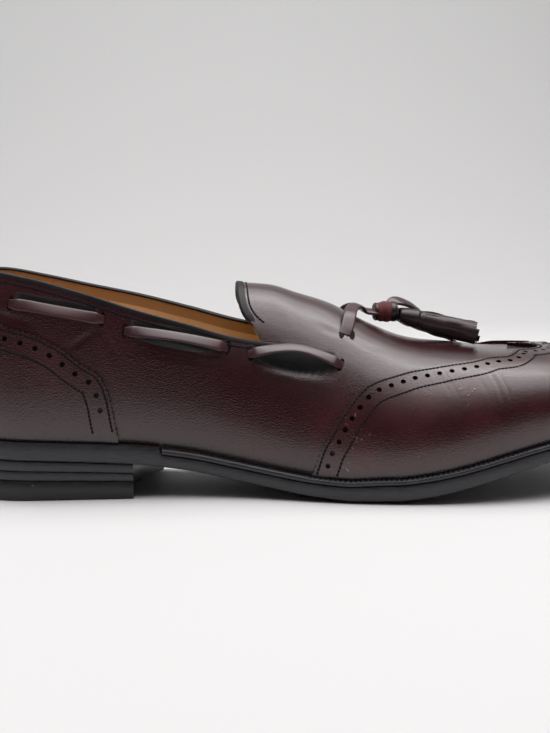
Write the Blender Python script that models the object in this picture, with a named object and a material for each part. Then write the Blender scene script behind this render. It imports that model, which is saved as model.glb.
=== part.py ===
"""Right tassel loafer: wing cap, heel counter, threaded collar lace, welted sole and stacked heel.

Metres, +X to the toe, +Y to the inner (medial) side, +Z up. The origin is on the ground under the
middle of the shoe. A station is a share of the length from the heel's back to the toe's tip.
"""
import bisect
import math

import bmesh
import bpy
import numpy as np

# Driving sizes of the last and the sole
LENGTH = 0.305
BALL_WIDTH = 0.104
HEEL_WIDTH = 0.068
HEEL_HEIGHT = 0.0181
TOE_SPRING = 0.0230
SOLE_EDGE = 0.0093
SOLE_CUP = 0.0012
CUP_WIDTH = 0.014
WELT_THICKNESS = 0.0024
WELT_WIDTH = 0.012
INSTEP_HEIGHT = 0.0894
COLLAR_HEIGHT = 0.0955
LEDGE_HEEL = 0.0037
LEDGE_FORE = 0.0038

# Driving sizes of the upper and what is put on it
WALL = 0.0022
OVERLAY = 0.0011
OVERLAY_GAP = 0.00055
INSOLE_THICKNESS = 0.003
BULGE_HEEL = 0.0020
BULGE_FORE = 0.0019
BULGE_RISE = 0.016
BINDING_HEIGHT = 0.0013
BINDING_LIP = 0.0003
LACE_WIDTH = 0.005
LACE_THICKNESS = 0.0013
LACE_CORD = 0.0042
TASSEL_LENGTH = 0.037
TASSEL_WIDTH = 0.0118
KNOT_SIZE = (0.0110, 0.0115, 0.0092)
KNOT_STATION = 0.6045
KNOT_RISE = 0.0076
KNOT_TAPER = 0.45
STRAP_SPLIT = 0.0026
TASSEL_SPLIT = 0.0034
MEDIAL_LACE_LIFT = 0.035

# Clearance between pieces that meet
GAP = 0.0003
REST_GAP = 0.0005

# Driving sizes of the heel
BREAST_LATERAL = 0.0760
BREAST_MEDIAL = 0.0870
BREAST_DEPTH = 0.0065
HEEL_LINES = (0.51, 0.745)
HEEL_INSET = 0.0005
HEEL_STEP = 0.0003
EDGE_ROUND = 0.0007

# Stations where the round ends start, and where the throat has its corner and the tongue its tip
HEEL_END = 0.11
TOE_END = 0.78
CORNER = 0.462
TONGUE_TIP = 0.398
TONGUE_SWEEP = 8
WELT_START = 0.2885
END_ROUNDNESS = 2.1
TOE_DRIFT = 0.007
LATERAL, MEDIAL = -1, 1

# along: station; lateral, medial: half widths as shares of the local width
OUTLINE = (
    (0.00, 0.500, 0.500),
    (0.12, 0.500, 0.500),
    (0.25, 0.485, 0.463),
    (0.33, 0.482, 0.410),
    (0.42, 0.462, 0.345),
    (0.50, 0.468, 0.340),
    (0.58, 0.482, 0.382),
    (0.65, 0.500, 0.447),
    (0.70, 0.502, 0.486),
    (0.75, 0.490, 0.500),
    (0.80, 0.466, 0.500),
    (0.90, 0.433, 0.481),
    (1.00, 0.404, 0.452),
)

# along: station; heel, toe: the sole's underside as shares of HEEL_HEIGHT and of TOE_SPRING;
# edge: thickness of the sole's edge as a share of SOLE_EDGE; cup: how far that edge curves up from
# the middle of the sole, as a share of SOLE_CUP
UNDERSIDE = (
    (0.000, 1.000, 0.000, 0.840, 0.0),
    (0.246, 0.812, 0.000, 0.840, 0.0),
    (0.302, 0.702, 0.000, 0.842, 0.0),
    (0.341, 0.597, 0.000, 0.846, 0.0),
    (0.380, 0.459, 0.000, 0.852, 0.0),
    (0.423, 0.315, 0.000, 0.860, 0.0),
    (0.475, 0.155, 0.000, 0.875, 0.1),
    (0.518, 0.050, 0.000, 0.905, 0.4),
    (0.545, 0.000, 0.000, 0.935, 0.7),
    (0.600, 0.000, 0.000, 1.000, 1.0),
    (0.640, 0.000, 0.057, 1.000, 1.0),
    (0.680, 0.000, 0.161, 0.985, 1.0),
    (0.720, 0.000, 0.304, 0.960, 1.0),
    (0.760, 0.000, 0.452, 0.935, 1.0),
    (0.800, 0.000, 0.587, 0.915, 1.0),
    (0.860, 0.000, 0.739, 0.900, 1.0),
    (0.930, 0.000, 0.883, 0.890, 1.0),
    (1.000, 0.000, 1.000, 0.880, 1.0),
)

# along: station; height: top of the section as a share of INSTEP_HEIGHT; off: its place across as a
# share of BALL_WIDTH; full: how square the section is
SECTIONS = (
    (0.000, 1.410, 0.000, 2.60),
    (0.110, 1.410, 0.000, 2.60),
    (0.200, 1.330, 0.000, 2.60),
    (0.270, 1.220, 0.004, 2.55),
    (0.330, 1.115, 0.010, 2.45),
    (0.398, 1.000, 0.016, 2.15),
    (0.443, 0.985, 0.022, 2.00),
    (0.485, 0.942, 0.028, 1.98),
    (0.528, 0.896, 0.034, 2.02),
    (0.590, 0.790, 0.040, 2.15),
    (0.636, 0.727, 0.044, 2.30),
    (0.666, 0.705, 0.046, 2.42),
    (0.718, 0.688, 0.046, 2.65),
    (0.780, 0.666, 0.044, 2.95),
    (1.000, 0.666, 0.044, 2.95),
)

# along: station; lateral, medial: the topline's height as shares of COLLAR_HEIGHT
TOPLINE = (
    (0.000, 1.000, 1.000),
    (0.050, 0.990, 0.993),
    (0.111, 0.955, 0.958),
    (0.180, 0.893, 0.911),
    (0.252, 0.818, 0.865),
    (0.328, 0.749, 0.806),
    (0.395, 0.690, 0.750),
    (0.462, 0.660, 0.704),
)

# along: station; rise: the wing's edge as a share of the section's height
WING_SIDE = (
    (0.490, 0.022),
    (0.501, 0.168),
    (0.512, 0.254),
    (0.522, 0.341),
    (0.535, 0.426),
    (0.547, 0.502),
    (0.566, 0.594),
    (0.603, 0.703),
    (0.631, 0.771),
    (0.671, 0.828),
    (0.719, 0.876),
    (0.745, 0.916),
    (0.780, 0.941),
)

# turn: degrees from straight ahead at the toe's centre; reach: the wing's edge from that centre as a
# share of the way to the feather line
WING_TOP = (
    (0.0, 0.075),
    (20.0, 0.170),
    (40.0, 0.300),
    (60.0, 0.375),
    (90.0, 0.412),
)

# along: station; height: the counter's edge as a share of COLLAR_HEIGHT
COUNTER_EDGE = (
    (0.000, 0.800),
    (0.060, 0.790),
    (0.107, 0.738),
    (0.124, 0.716),
    (0.141, 0.690),
    (0.158, 0.658),
    (0.175, 0.614),
    (0.192, 0.576),
    (0.203, 0.555),
    (0.213, 0.510),
    (0.221, 0.430),
    (0.2265, 0.330),
    (0.2305, 0.270),
)

# from, to: stations of a lace run's ends; low, high: heights of its middle line there as shares of
# COLLAR_HEIGHT; arch: how far its middle stands off the leather
LACE_RUNS = (
    (0.0950, 0.853, 0.2080, 0.785, 0.0008),
    (0.2440, 0.733, 0.3740, 0.658, 0.0012),
    (0.4090, 0.630, 0.5300, 0.585, 0.0030),
)

# along: station; across: from the ridge; above: over the height at which the strap rests on the vamp
STRAP_ROUTE = (
    (0.547, 0.0228, 0.0000),
    (0.550, 0.0172, 0.0008),
    (0.555, 0.0106, 0.0020),
    (0.564, 0.0052, 0.0034),
)
# last place of the strap before the knot, from its end
STRAP_DIP = (-0.0042, 0.0, 0.0008)

# share: how far along the tassel; size: its radius as a share of half of TASSEL_WIDTH;
# groove: how deep the gaps between the strips are as a share of that radius
TASSEL_FORM = (
    (0.000, 0.42, 0.00),
    (0.040, 0.60, 0.00),
    (0.120, 0.74, 0.00),
    (0.230, 0.86, 0.00),
    (0.270, 0.74, 0.00),
    (0.300, 0.78, 0.16),
    (0.450, 0.88, 0.20),
    (0.700, 0.97, 0.22),
    (0.940, 1.00, 0.24),
)
TASSEL_DEPTH = 0.88
STRIPS = 10
# how far each strip runs on past the last row, and where the strips' hidden ends meet, as shares of
# the tassel's length and of half of its width
STRIP_ENDS = (0.030, 0.055, 0.012, 0.046, 0.022, 0.060, 0.036, 0.008, 0.050, 0.028)
CORE_PLACE, CORE_SIZE = 0.955, 0.42
# reach: how far ahead of the knot the tassel's tip lies, as a share of its length; spread: how far
# the tip lies from the ridge
TASSEL_TIPS = {LATERAL: (0.95, 0.0105), MEDIAL: (0.86, 0.0185)}


class Curve:
    """Smooth curve through a table's column, with no overshoot between its rows."""

    def __init__(self, table, column):
        self.xs = [row[0] for row in table]
        self.ys = [row[column] for row in table]
        steps = [(b - a) / (d - c) for a, b, c, d in zip(self.ys, self.ys[1:], self.xs, self.xs[1:])]
        inner = [0.0 if a * b <= 0.0 else 2.0 * a * b / (a + b) for a, b in zip(steps, steps[1:])]
        self.slopes = [steps[0], *inner, steps[-1]]

    def at(self, x):
        xs, ys, slopes = self.xs, self.ys, self.slopes
        x = min(max(x, xs[0]), xs[-1])
        i = min(bisect.bisect_right(xs, x) - 1, len(xs) - 2)
        span = xs[i + 1] - xs[i]
        t = (x - xs[i]) / span
        return (
            ys[i] * (2 * t**3 - 3 * t**2 + 1)
            + ys[i + 1] * (3 * t**2 - 2 * t**3)
            + span * slopes[i] * (t**3 - 2 * t**2 + t)
            + span * slopes[i + 1] * (t**3 - t**2)
        )


CURVES = {}


def read(table, column, x):
    """Value of a table's column at x."""
    if (table, column) not in CURVES:
        CURVES[table, column] = Curve(table, column)
    return CURVES[table, column].at(x)


def mix(a, b, t):
    return a + (b - a) * t


def smooth(t):
    t = min(max(t, 0.0), 1.0)
    return t * t * (3.0 - 2.0 * t)


def unit(v):
    return v / np.linalg.norm(v)


def local_width(along):
    return mix(HEEL_WIDTH, BALL_WIDTH, smooth((along - 0.30) / 0.30))


def raw_outline(side, station):
    """Edge of the sole from above, as a place along and a place across."""
    if station < HEEL_END:
        turn = 0.5 * math.pi * station / HEEL_END
        along = HEEL_END * (1.0 - math.cos(turn) ** (2.0 / END_ROUNDNESS))
        close = math.sin(turn) ** (2.0 / END_ROUNDNESS)
        drift = 0.0
    elif station > TOE_END:
        turn = 0.5 * math.pi * max(1.0 - station, 0.0) / (1.0 - TOE_END)
        reach = math.cos(turn) ** (2.0 / END_ROUNDNESS)
        along = TOE_END + (1.0 - TOE_END) * reach
        close = math.sin(turn) ** (2.0 / END_ROUNDNESS)
        drift = TOE_DRIFT * reach**2
    else:
        along, close, drift = station, 1.0, 0.0
    half = read(OUTLINE, 1 if side == LATERAL else 2, along) * local_width(along)
    return along * LENGTH, drift + side * half * close


def middle_across():
    """Half way between the sole's widest places, so that the shoe's box is centred."""
    steps = [i / 200 for i in range(201)]
    widest = [max(side * raw_outline(side, s)[1] for s in steps) for side in (LATERAL, MEDIAL)]
    return 0.5 * (widest[1] - widest[0])


CENTRE_Y = middle_across()


def outline(side, station):
    x, y = raw_outline(side, station)
    return np.array((x - 0.5 * LENGTH, y - CENTRE_Y))


def plan(side, station, inset=0.0):
    """Edge of the sole from above, moved inward by the inset."""
    if inset == 0.0:
        return outline(side, station)
    step = 0.002
    low, high = station - step, station + step
    before = outline(side, low) if low > 0.0 else outline(-side, -low)
    after = outline(side, high) if high < 1.0 else outline(-side, 2.0 - high)
    run = unit(after - before)
    inward = np.array((-run[1], run[0])) * (1.0 if side == LATERAL else -1.0)
    return outline(side, station) + inward * inset


def along_of(x):
    return x / LENGTH + 0.5


def underside(x):
    """Height of the middle of the outsole's underside."""
    s = along_of(x)
    return read(UNDERSIDE, 1, s) * HEEL_HEIGHT + read(UNDERSIDE, 2, s) * TOE_SPRING


def rim(x):
    """Height of the outsole's lower edge."""
    return underside(x) + read(UNDERSIDE, 4, along_of(x)) * SOLE_CUP


def seat(x):
    """Height of the sole's upper side, where the upper and the insole stand."""
    return rim(x) + read(UNDERSIDE, 3, along_of(x)) * SOLE_EDGE


def ledge(station):
    """How far the sole stands out past the upper."""
    return mix(LEDGE_HEEL, LEDGE_FORE, smooth((station - 0.25) / 0.35))


def section(station):
    """Top point, squareness and side bulge of the upper's section."""
    along = min(max(station, HEEL_END), TOE_END)
    height = read(SECTIONS, 1, along) * INSTEP_HEIGHT
    across = read(SECTIONS, 2, along) * BALL_WIDTH - CENTRE_Y
    full = read(SECTIONS, 3, along)
    bulge = mix(BULGE_HEEL, BULGE_FORE, smooth((along - 0.2) / 0.3))
    return np.array(((along - 0.5) * LENGTH, across, height)), full, bulge


def last(side, station, turn, out=0.0):
    """Point of the upper's outer face. Turn goes from 0 at the feather line to 1 at the top."""
    top, full, bulge = section(station)
    foot = plan(side, station, ledge(station))
    foot_z = seat(foot[0]) + GAP
    angle = 0.5 * math.pi * min(max(turn, 0.0), 1.0)
    rise = math.sin(angle) ** (2.0 / full)
    reach = max(math.cos(angle), 0.0) ** (2.0 / full)
    flat = foot - top[:2]
    climb = rise * (top[2] - foot_z) / BULGE_RISE
    swell = bulge * climb * math.exp(1.0 - climb) * min(1.0, 4.0 * reach)
    place = top[:2] + flat * reach + unit(flat) * swell
    point = np.array((place[0], place[1], mix(foot_z, top[2], rise)))
    if out != 0.0:
        point = point + outward(side, station, turn) * out
    return point


def outward(side, station, turn):
    """Unit normal of the upper's outer face."""
    step = 0.003
    if turn > 1.0 - 1e-6:
        here = min(max(station, HEEL_END + step), TOE_END - step)
        run = section(here + step)[0] - section(here - step)[0]
        return unit(np.array((-run[2], 0.0, run[0])))
    low, high = max(station - step, 0.0), min(station + step, 1.0)
    run = last(side, high, turn) - last(side, low, turn)
    if station < 1e-6 or station > 1.0 - 1e-6:
        run = np.array((0.0, side * (1.0 if station < 0.5 else -1.0), 0.0))
    up = last(side, station, min(turn + step, 1.0)) - last(side, station, max(turn - step, 0.0))
    return unit(np.cross(run, up)) * -side


def turn_at_height(side, station, height):
    """Turn at which a section reaches a height."""
    low, high = 0.0, 1.0
    for _ in range(40):
        middle = 0.5 * (low + high)
        if last(side, station, middle)[2] < height:
            low = middle
        else:
            high = middle
    return 0.5 * (low + high)


def turn_of_rise(station, rise):
    full = section(station)[1]
    return math.asin(rise ** (full / 2.0)) / (0.5 * math.pi)


def turn_of_reach(station, reach):
    full = section(station)[1]
    return math.acos(reach ** (full / 2.0)) / (0.5 * math.pi)


def topline_turn(side, station):
    """Turn of the collar's edge on a section, by the height of the topline there."""
    column = 1 if side == LATERAL else 2
    turn = 0.6
    for _ in range(12):
        along = along_of(last(side, station, turn)[0])
        turn = turn_at_height(side, station, read(TOPLINE, column, along) * COLLAR_HEIGHT)
    return turn


def tongue_edge(side, share):
    """Station and turn on the tongue's edge, from 0 at the throat's corner to 1 at the tip."""
    station = TONGUE_TIP + (CORNER - TONGUE_TIP) * (1.0 - share) ** TONGUE_SWEEP
    return station, mix(topline_turn(side, CORNER), 1.0, share)


HEEL_RIBS = 7
QUARTER_RIBS = 12
TONGUE_RIBS = 8
RIDGE_RIBS = 11
TOE_RIBS = 9
LEVELS = 9


def ribs(side):
    """Each rib of the upper: the station at its foot, and the station and turn at its top."""
    rows = []
    for i in range(HEEL_RIBS):
        rows.append((HEEL_END * i / HEEL_RIBS, None, None))
    for i in range(QUARTER_RIBS):
        rows.append((mix(HEEL_END, CORNER, i / QUARTER_RIBS), None, None))
    rows = [(s, s, topline_turn(side, s)) for s, _, _ in rows]
    count = TONGUE_RIBS + RIDGE_RIBS
    for i in range(count):
        foot = mix(CORNER, TOE_END, i / count)
        if i <= TONGUE_RIBS:
            rows.append((foot, *tongue_edge(side, i / TONGUE_RIBS)))
        else:
            rows.append((foot, mix(TONGUE_TIP, TOE_END, (i - TONGUE_RIBS) / RIDGE_RIBS), 1.0))
    for i in range(TOE_RIBS + 1):
        station = mix(TOE_END, 1.0, i / TOE_RIBS)
        rows.append((station, station, 1.0))
    return rows


def even_levels(side, foot, top, top_turn, levels, out=0.0, bottom_turn=0.0):
    """Stations and turns along one rib, spaced evenly over the surface."""
    count = 60
    shares = [i / count for i in range(count + 1)]
    fine = [last(side, mix(foot, top, t), mix(bottom_turn, top_turn, t)) for t in shares]
    run = np.concatenate(([0.0], np.cumsum([np.linalg.norm(b - a) for a, b in zip(fine, fine[1:])])))
    picked = np.interp(np.linspace(0.0, run[-1], levels + 1), run, shares)
    return [(mix(foot, top, t), mix(bottom_turn, top_turn, t)) for t in picked]


def above_seat(point):
    """Keep a point clear of the sole's upper side."""
    return np.array((point[0], point[1], max(point[2], seat(point[0]) + GAP)))


def shell(name, columns, thickness, out=0.0, closed=False):
    """Closed wall from columns of (side, station, turn): outer face, inner face and rims.

    The columns go round the shoe one after the other. Two neighbours that both reach the ridge
    need no rim there, because the columns of the other side meet them.
    """
    bm = bmesh.new()
    outer, inner, on_ridge = [], [], []
    for column in columns:
        faces = [(last(*place), outward(*place)) for place in column]
        outer.append([bm.verts.new(above_seat(p + n * (out + thickness))) for p, n in faces])
        inner.append([bm.verts.new(above_seat(p + n * out)) for p, n in faces])
        on_ridge.append(column[-1][2] > 1.0 - 1e-6)
    if closed:
        for rows in (outer, inner, on_ridge):
            rows.append(rows[0])
    for i, (a, b, c, d) in enumerate(zip(outer, outer[1:], inner, inner[1:])):
        for k in range(len(a) - 1):
            bm.faces.new((a[k], b[k], b[k + 1], a[k + 1]))
            bm.faces.new((c[k], c[k + 1], d[k + 1], d[k]))
        bm.faces.new((a[0], c[0], d[0], b[0]))
        if not (on_ridge[i] and on_ridge[i + 1]):
            bm.faces.new((a[-1], b[-1], d[-1], c[-1]))
    if not closed:
        for wall, hidden, flip in ((outer[0], inner[0], False), (outer[-1], inner[-1], True)):
            for k in range(len(wall) - 1):
                ring = (wall[k], wall[k + 1], hidden[k + 1], hidden[k])
                bm.faces.new(ring[::-1] if flip else ring)
    return finish(name, bm, weld=True)


def finish(name, bm, weld=False, smooth_angle=38.0):
    """Turn a bmesh into a named object with faces pointing outward."""
    if weld:
        bmesh.ops.remove_doubles(bm, verts=bm.verts, dist=1e-6)
        loose = [edge for edge in bm.edges if not edge.link_faces]
        bmesh.ops.delete(bm, geom=loose, context="EDGES")
    bmesh.ops.recalc_face_normals(bm, faces=bm.faces)
    mesh = bpy.data.meshes.new(name)
    bm.to_mesh(mesh)
    bm.free()
    obj = bpy.data.objects.new(name, mesh)
    bpy.context.scene.collection.objects.link(obj)
    mesh.shade_smooth()
    mesh.set_sharp_from_angle(angle=math.radians(smooth_angle))
    return obj


def make_upper():
    """One hollow wall, open at the collar, at the throat and underneath."""
    columns = []
    for side in (LATERAL, MEDIAL):
        rows = ribs(side)
        if side == MEDIAL:
            rows = rows[-2:0:-1]
        for foot, top, turn in rows:
            levels = even_levels(side, foot, top, turn, LEVELS)
            columns.append([(side, s, t) for s, t in levels])
    return shell("upper", columns, WALL, -WALL, closed=True)


def wing_turn(station):
    """Turn of the wing cap's edge on a section."""
    if station <= TOE_END:
        return turn_of_rise(station, read(WING_SIDE, 1, station))
    ahead = 90.0 * (1.0 - station) / (1.0 - TOE_END)
    return turn_of_reach(station, read(WING_TOP, 1, ahead))


def make_wing_cap():
    """Thick second layer over the toe, cut along the wing's line."""
    start = [row[0] for row in WING_SIDE[:7]]
    side_ribs = [mix(WING_SIDE[6][0], TOE_END, i / 9) for i in range(1, 10)]
    toe_ribs = [mix(TOE_END, 1.0, i / 12) for i in range(1, 13)]
    stations = start + side_ribs + toe_ribs
    columns = []
    for side in (LATERAL, MEDIAL):
        order = stations if side == LATERAL else stations[-2::-1]
        for station in order:
            levels = even_levels(side, station, station, wing_turn(station), 9)
            columns.append([(side, s, t) for s, t in levels])
    return shell("wing_cap", columns, OVERLAY, OVERLAY_GAP)


def make_heel_counter():
    """Thick second layer round the heel."""
    fan = stations_between(0.0, HEEL_END, HEEL_RIBS)
    stations = fan + [row[0] for row in COUNTER_EDGE if row[0] > HEEL_END + 0.01]
    columns = []
    for side in (LATERAL, MEDIAL):
        order = stations[::-1] if side == LATERAL else stations[1:]
        for station in order:
            turn = turn_at_height(side, station, read(COUNTER_EDGE, 1, station) * COLLAR_HEIGHT)
            levels = even_levels(side, station, station, turn, 5)
            columns.append([(side, s, t) for s, t in levels])
    return shell("heel_counter", columns, OVERLAY, OVERLAY_GAP)


def stations_between(low, high, count):
    return [mix(low, high, i / count) for i in range(count + 1)]


def slab(name, stations, levels):
    """Closed plate of the sole's outline. Levels are (inset, height function) from below."""
    bm = bmesh.new()
    rings = []
    for inset, height in levels:
        ring = []
        for side, order in ((LATERAL, stations), (MEDIAL, stations[-2:0:-1])):
            for station in order:
                x, y = plan(side, station, inset)
                ring.append(bm.verts.new((x, y, height(station, x))))
        rings.append(ring)
    count = len(rings[0])
    for low, high in zip(rings, rings[1:]):
        for i in range(count):
            j = (i + 1) % count
            bm.faces.new((low[i], low[j], high[j], high[i]))
    last_index = len(stations) - 1
    for ring, flip in ((rings[0], True), (rings[-1], False)):
        for i in range(last_index):
            quad = [ring[i], ring[i + 1], ring[(count - i - 1) % count], ring[(count - i) % count]]
            quad = list(dict.fromkeys(quad))
            bm.faces.new(quad[::-1] if flip else quad)
    return finish(name, bm)


def make_outsole():
    """Leather sole: full height at the heel, lower by the welt from its start on."""
    start = WELT_START - 2.0 * GAP / LENGTH
    heel = stations_between(0.0, HEEL_END, 7)
    waist = stations_between(HEEL_END, start - GAP / LENGTH, 8)[1:]
    fore = stations_between(start, TOE_END, 17)
    toe = stations_between(TOE_END, 1.0, 10)[1:]

    def top(drop):
        def height(station, x):
            welted = WELT_THICKNESS + GAP if station >= start else 0.0
            return seat(x) - welted - drop
        return height

    levels = (
        (CUP_WIDTH, lambda s, x: underside(x)),
        (2.0 * EDGE_ROUND, lambda s, x: rim(x)),
        (0.3 * EDGE_ROUND, lambda s, x: rim(x) + EDGE_ROUND),
        (0.0, lambda s, x: rim(x) + 2.5 * EDGE_ROUND),
        (0.0, top(1.2 * EDGE_ROUND)),
        (EDGE_ROUND, top(0.0)),
    )
    return slab("outsole", heel + waist + fore + toe, levels)


def make_insole():
    """Sock board inside the upper, on the sole and the welt."""
    stations = stations_between(0.0, HEEL_END, 6) + stations_between(HEEL_END, TOE_END, 18)[1:]
    stations += stations_between(TOE_END, 1.0, 8)[1:]
    inset = LEDGE_FORE + WALL + 2.0 * REST_GAP
    levels = (
        (inset, lambda s, x: seat(x) + GAP),
        (inset, lambda s, x: seat(x) + GAP + INSOLE_THICKNESS),
    )
    return slab("insole", stations, levels)


def tube(name, rings):
    """Closed body swept through rings of points."""
    bm = bmesh.new()
    loops = [[bm.verts.new(p) for p in ring] for ring in rings]
    count = len(loops[0])
    for low, high in zip(loops, loops[1:]):
        for i in range(count):
            j = (i + 1) % count
            bm.faces.new((low[i], low[j], high[j], high[i]))
    bm.faces.new(loops[0][::-1])
    bm.faces.new(loops[-1])
    return finish(name, bm)


def make_welt():
    """Strip round the forepart, between outsole and upper."""
    stations = stations_between(WELT_START, TOE_END, 17) + stations_between(TOE_END, 1.0, 10)[1:]
    first_x = (WELT_START - 0.5) * LENGTH
    round_ = EDGE_ROUND
    profile = (
        (WELT_WIDTH, 0.0),
        (0.6 * round_, 0.0),
        (0.0, 0.7 * round_),
        (0.0, WELT_THICKNESS - round_),
        (round_, WELT_THICKNESS),
        (WELT_WIDTH, WELT_THICKNESS),
    )
    rings = []
    for side in (LATERAL, MEDIAL):
        order = stations if side == LATERAL else stations[-2::-1]
        for station in order:
            ring = []
            for inset, up in profile:
                x, y = plan(side, station, inset)
                x = max(x, first_x)
                ring.append((x, y, seat(x) - WELT_THICKNESS + up))
            rings.append(ring)
    return tube("welt", rings)


def heel_ring(inset, height, count=13, across=7):
    """Outline of the heel block with its hollow breast."""
    ends = {LATERAL: BREAST_LATERAL / LENGTH, MEDIAL: BREAST_MEDIAL / LENGTH}
    fan = stations_between(0.0, HEEL_END, 8)
    sides = {}
    for side in (LATERAL, MEDIAL):
        stations = fan + stations_between(HEEL_END, ends[side], count - 8)[1:]
        sides[side] = [plan(side, s, inset) for s in stations]
    a, b = sides[LATERAL][-1], sides[MEDIAL][-1]
    breast = []
    for i in range(1, across):
        t = i / across
        point = mix(a, b, t)
        point[0] -= BREAST_DEPTH * 4.0 * t * (1.0 - t)
        breast.append(point)
    ring = sides[LATERAL] + breast + sides[MEDIAL][:0:-1]
    return [(x, y, height(x)) for x, y in ring]


def make_heel():
    """Two lifts and the top piece that meets the ground."""
    low, high = HEEL_LINES
    pieces = (
        ("heel_top_piece", 0.0, low, HEEL_INSET + 2 * HEEL_STEP),
        ("heel_lift_2", low, high, HEEL_INSET + HEEL_STEP),
        ("heel_lift_1", high, 1.0, HEEL_INSET),
    )
    made = []
    for name, bottom, top, inset in pieces:
        def level(share, drop):
            return lambda x: underside(x) * share + drop
        foot = level(bottom, 0.0 if bottom == 0.0 else 0.5 * GAP)
        head = level(top, -GAP if top == 1.0 else -0.5 * GAP)
        chamfer = EDGE_ROUND if bottom == 0.0 else 0.3 * EDGE_ROUND
        rings = [
            heel_ring(inset + chamfer, foot),
            heel_ring(inset, lambda x, f=foot, c=chamfer: f(x) + c),
            heel_ring(inset, lambda x, h=head: h(x) - 0.3 * EDGE_ROUND),
            heel_ring(inset + 0.3 * EDGE_ROUND, head),
        ]
        made.append(tube(name, rings))
    return made


def edge_sweep(name, places, profile):
    """Bead along an edge of the upper. Profile is (out of the wall's middle, up from its rim)."""
    points = [last(*p) for p in places]
    rings = []
    for i, place in enumerate(places):
        normal = outward(*place)
        run = points[min(i + 1, len(points) - 1)] - points[max(i - 1, 0)]
        up = unit(np.cross(normal, run))
        middle = points[i] - normal * 0.5 * WALL
        rings.append([middle + normal * n + up * u for n, u in profile])
    return tube(name, rings)


def bead_profile(gap):
    half = 0.5 * WALL + BINDING_LIP
    h = BINDING_HEIGHT
    return [
        (-half, gap), (-half, gap + 0.5 * h), (-0.5 * half, gap + h),
        (0.5 * half, gap + h), (half, gap + 0.5 * h), (half, gap),
    ]


def make_bindings():
    """Piping on the collar's edge, and the binding of the tongue's edge."""
    count = HEEL_RIBS + QUARTER_RIBS - 1
    lateral = [(LATERAL, top, turn) for _, top, turn in ribs(LATERAL)[:count]]
    medial = [(MEDIAL, top, turn) for _, top, turn in ribs(MEDIAL)[:count]]
    collar = edge_sweep("collar_binding", medial[::-1] + lateral[1:], bead_profile(GAP))
    shares = [i / TONGUE_RIBS for i in range(2, TONGUE_RIBS + 1)]
    near = [(LATERAL, *tongue_edge(LATERAL, t)) for t in shares]
    far = [(MEDIAL, *tongue_edge(MEDIAL, t)) for t in shares]
    tongue = edge_sweep("tongue_binding", near + far[-2::-1], bead_profile(REST_GAP))
    return collar, tongue


def make_lace_runs():
    """Flat bars of the collar lace, arched off the quarters."""
    half, thick = 0.5 * LACE_WIDTH, LACE_THICKNESS
    steps = 5
    made = []
    for side, word in ((LATERAL, "lateral"), (MEDIAL, "medial")):
        for number, (start, z_start, end, z_end, arch) in enumerate(LACE_RUNS, 1):
            rings = []
            lift = 0.0 if side == LATERAL else MEDIAL_LACE_LIFT
            for i in range(steps + 1):
                t = i / steps
                station = mix(start, end, t)
                height = mix(z_start, z_end, t) + lift * smooth((station - HEEL_END) / HEEL_END)
                turn = turn_at_height(side, station, height * COLLAR_HEIGHT)
                normal = outward(side, station, turn)
                up = unit(last(side, station, turn + 0.01) - last(side, station, turn - 0.01))
                base = last(side, station, turn) + normal * (REST_GAP + arch * math.sin(math.pi * t))
                profile = (
                    (0.0, -0.85 * half), (0.45 * thick, -half), (thick, -0.8 * half),
                    (thick, 0.8 * half), (0.45 * thick, half), (0.0, 0.85 * half),
                )
                rings.append([base + normal * n + up * u for n, u in profile])
            made.append(tube(f"lace_run_{word}_{number}", rings))
    return made


def vamp_height(x, y):
    """Height of the vamp's outer face at a place seen from above."""
    station = min(max(along_of(x), HEEL_END), TOE_END)
    top = section(station)[0]
    side = LATERAL if y < top[1] else MEDIAL
    low, high = 0.3, 1.0
    for _ in range(18):
        middle = 0.5 * (low + high)
        if side * (last(side, station, middle)[1] - y) > 0.0:
            low = middle
        else:
            high = middle
    return last(side, station, high)[2]


def over_vamp(station, across, above):
    """Point off the vamp: across from the ridge, and above its face along the face's normal."""
    top = section(station)[0]
    x, y = top[0], top[1] + across
    step = 0.001
    rise_x = (vamp_height(x + step, y) - vamp_height(x - step, y)) / (2.0 * step)
    rise_y = (vamp_height(x, y + step) - vamp_height(x, y - step)) / (2.0 * step)
    normal = unit(np.array((-rise_x, -rise_y, 1.0)))
    return np.array((x, y, vamp_height(x, y))) + normal * above


def knot_centre():
    return over_vamp(KNOT_STATION, 0.0, KNOT_RISE)


def catmull(points, count):
    """Even points on a smooth curve through the given ones."""
    pts = [np.array(p) for p in points]
    pts = [2 * pts[0] - pts[1], *pts, 2 * pts[-1] - pts[-2]]
    fine = []
    for i in range(1, len(pts) - 2):
        for k in range(16):
            t = k / 16
            a, b, c, d = pts[i - 1 : i + 3]
            fine.append(0.5 * (2 * b + (c - a) * t + (2 * a - 5 * b + 4 * c - d) * t**2
                               + (3 * b - a - 3 * c + d) * t**3))
    fine.append(pts[-2])
    run = np.concatenate(([0.0], np.cumsum([np.linalg.norm(b - a) for a, b in zip(fine, fine[1:])])))
    fine = np.array(fine)
    at = np.linspace(0.0, run[-1], count)
    return np.stack([np.interp(at, run, fine[:, k]) for k in range(3)], axis=1)


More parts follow.
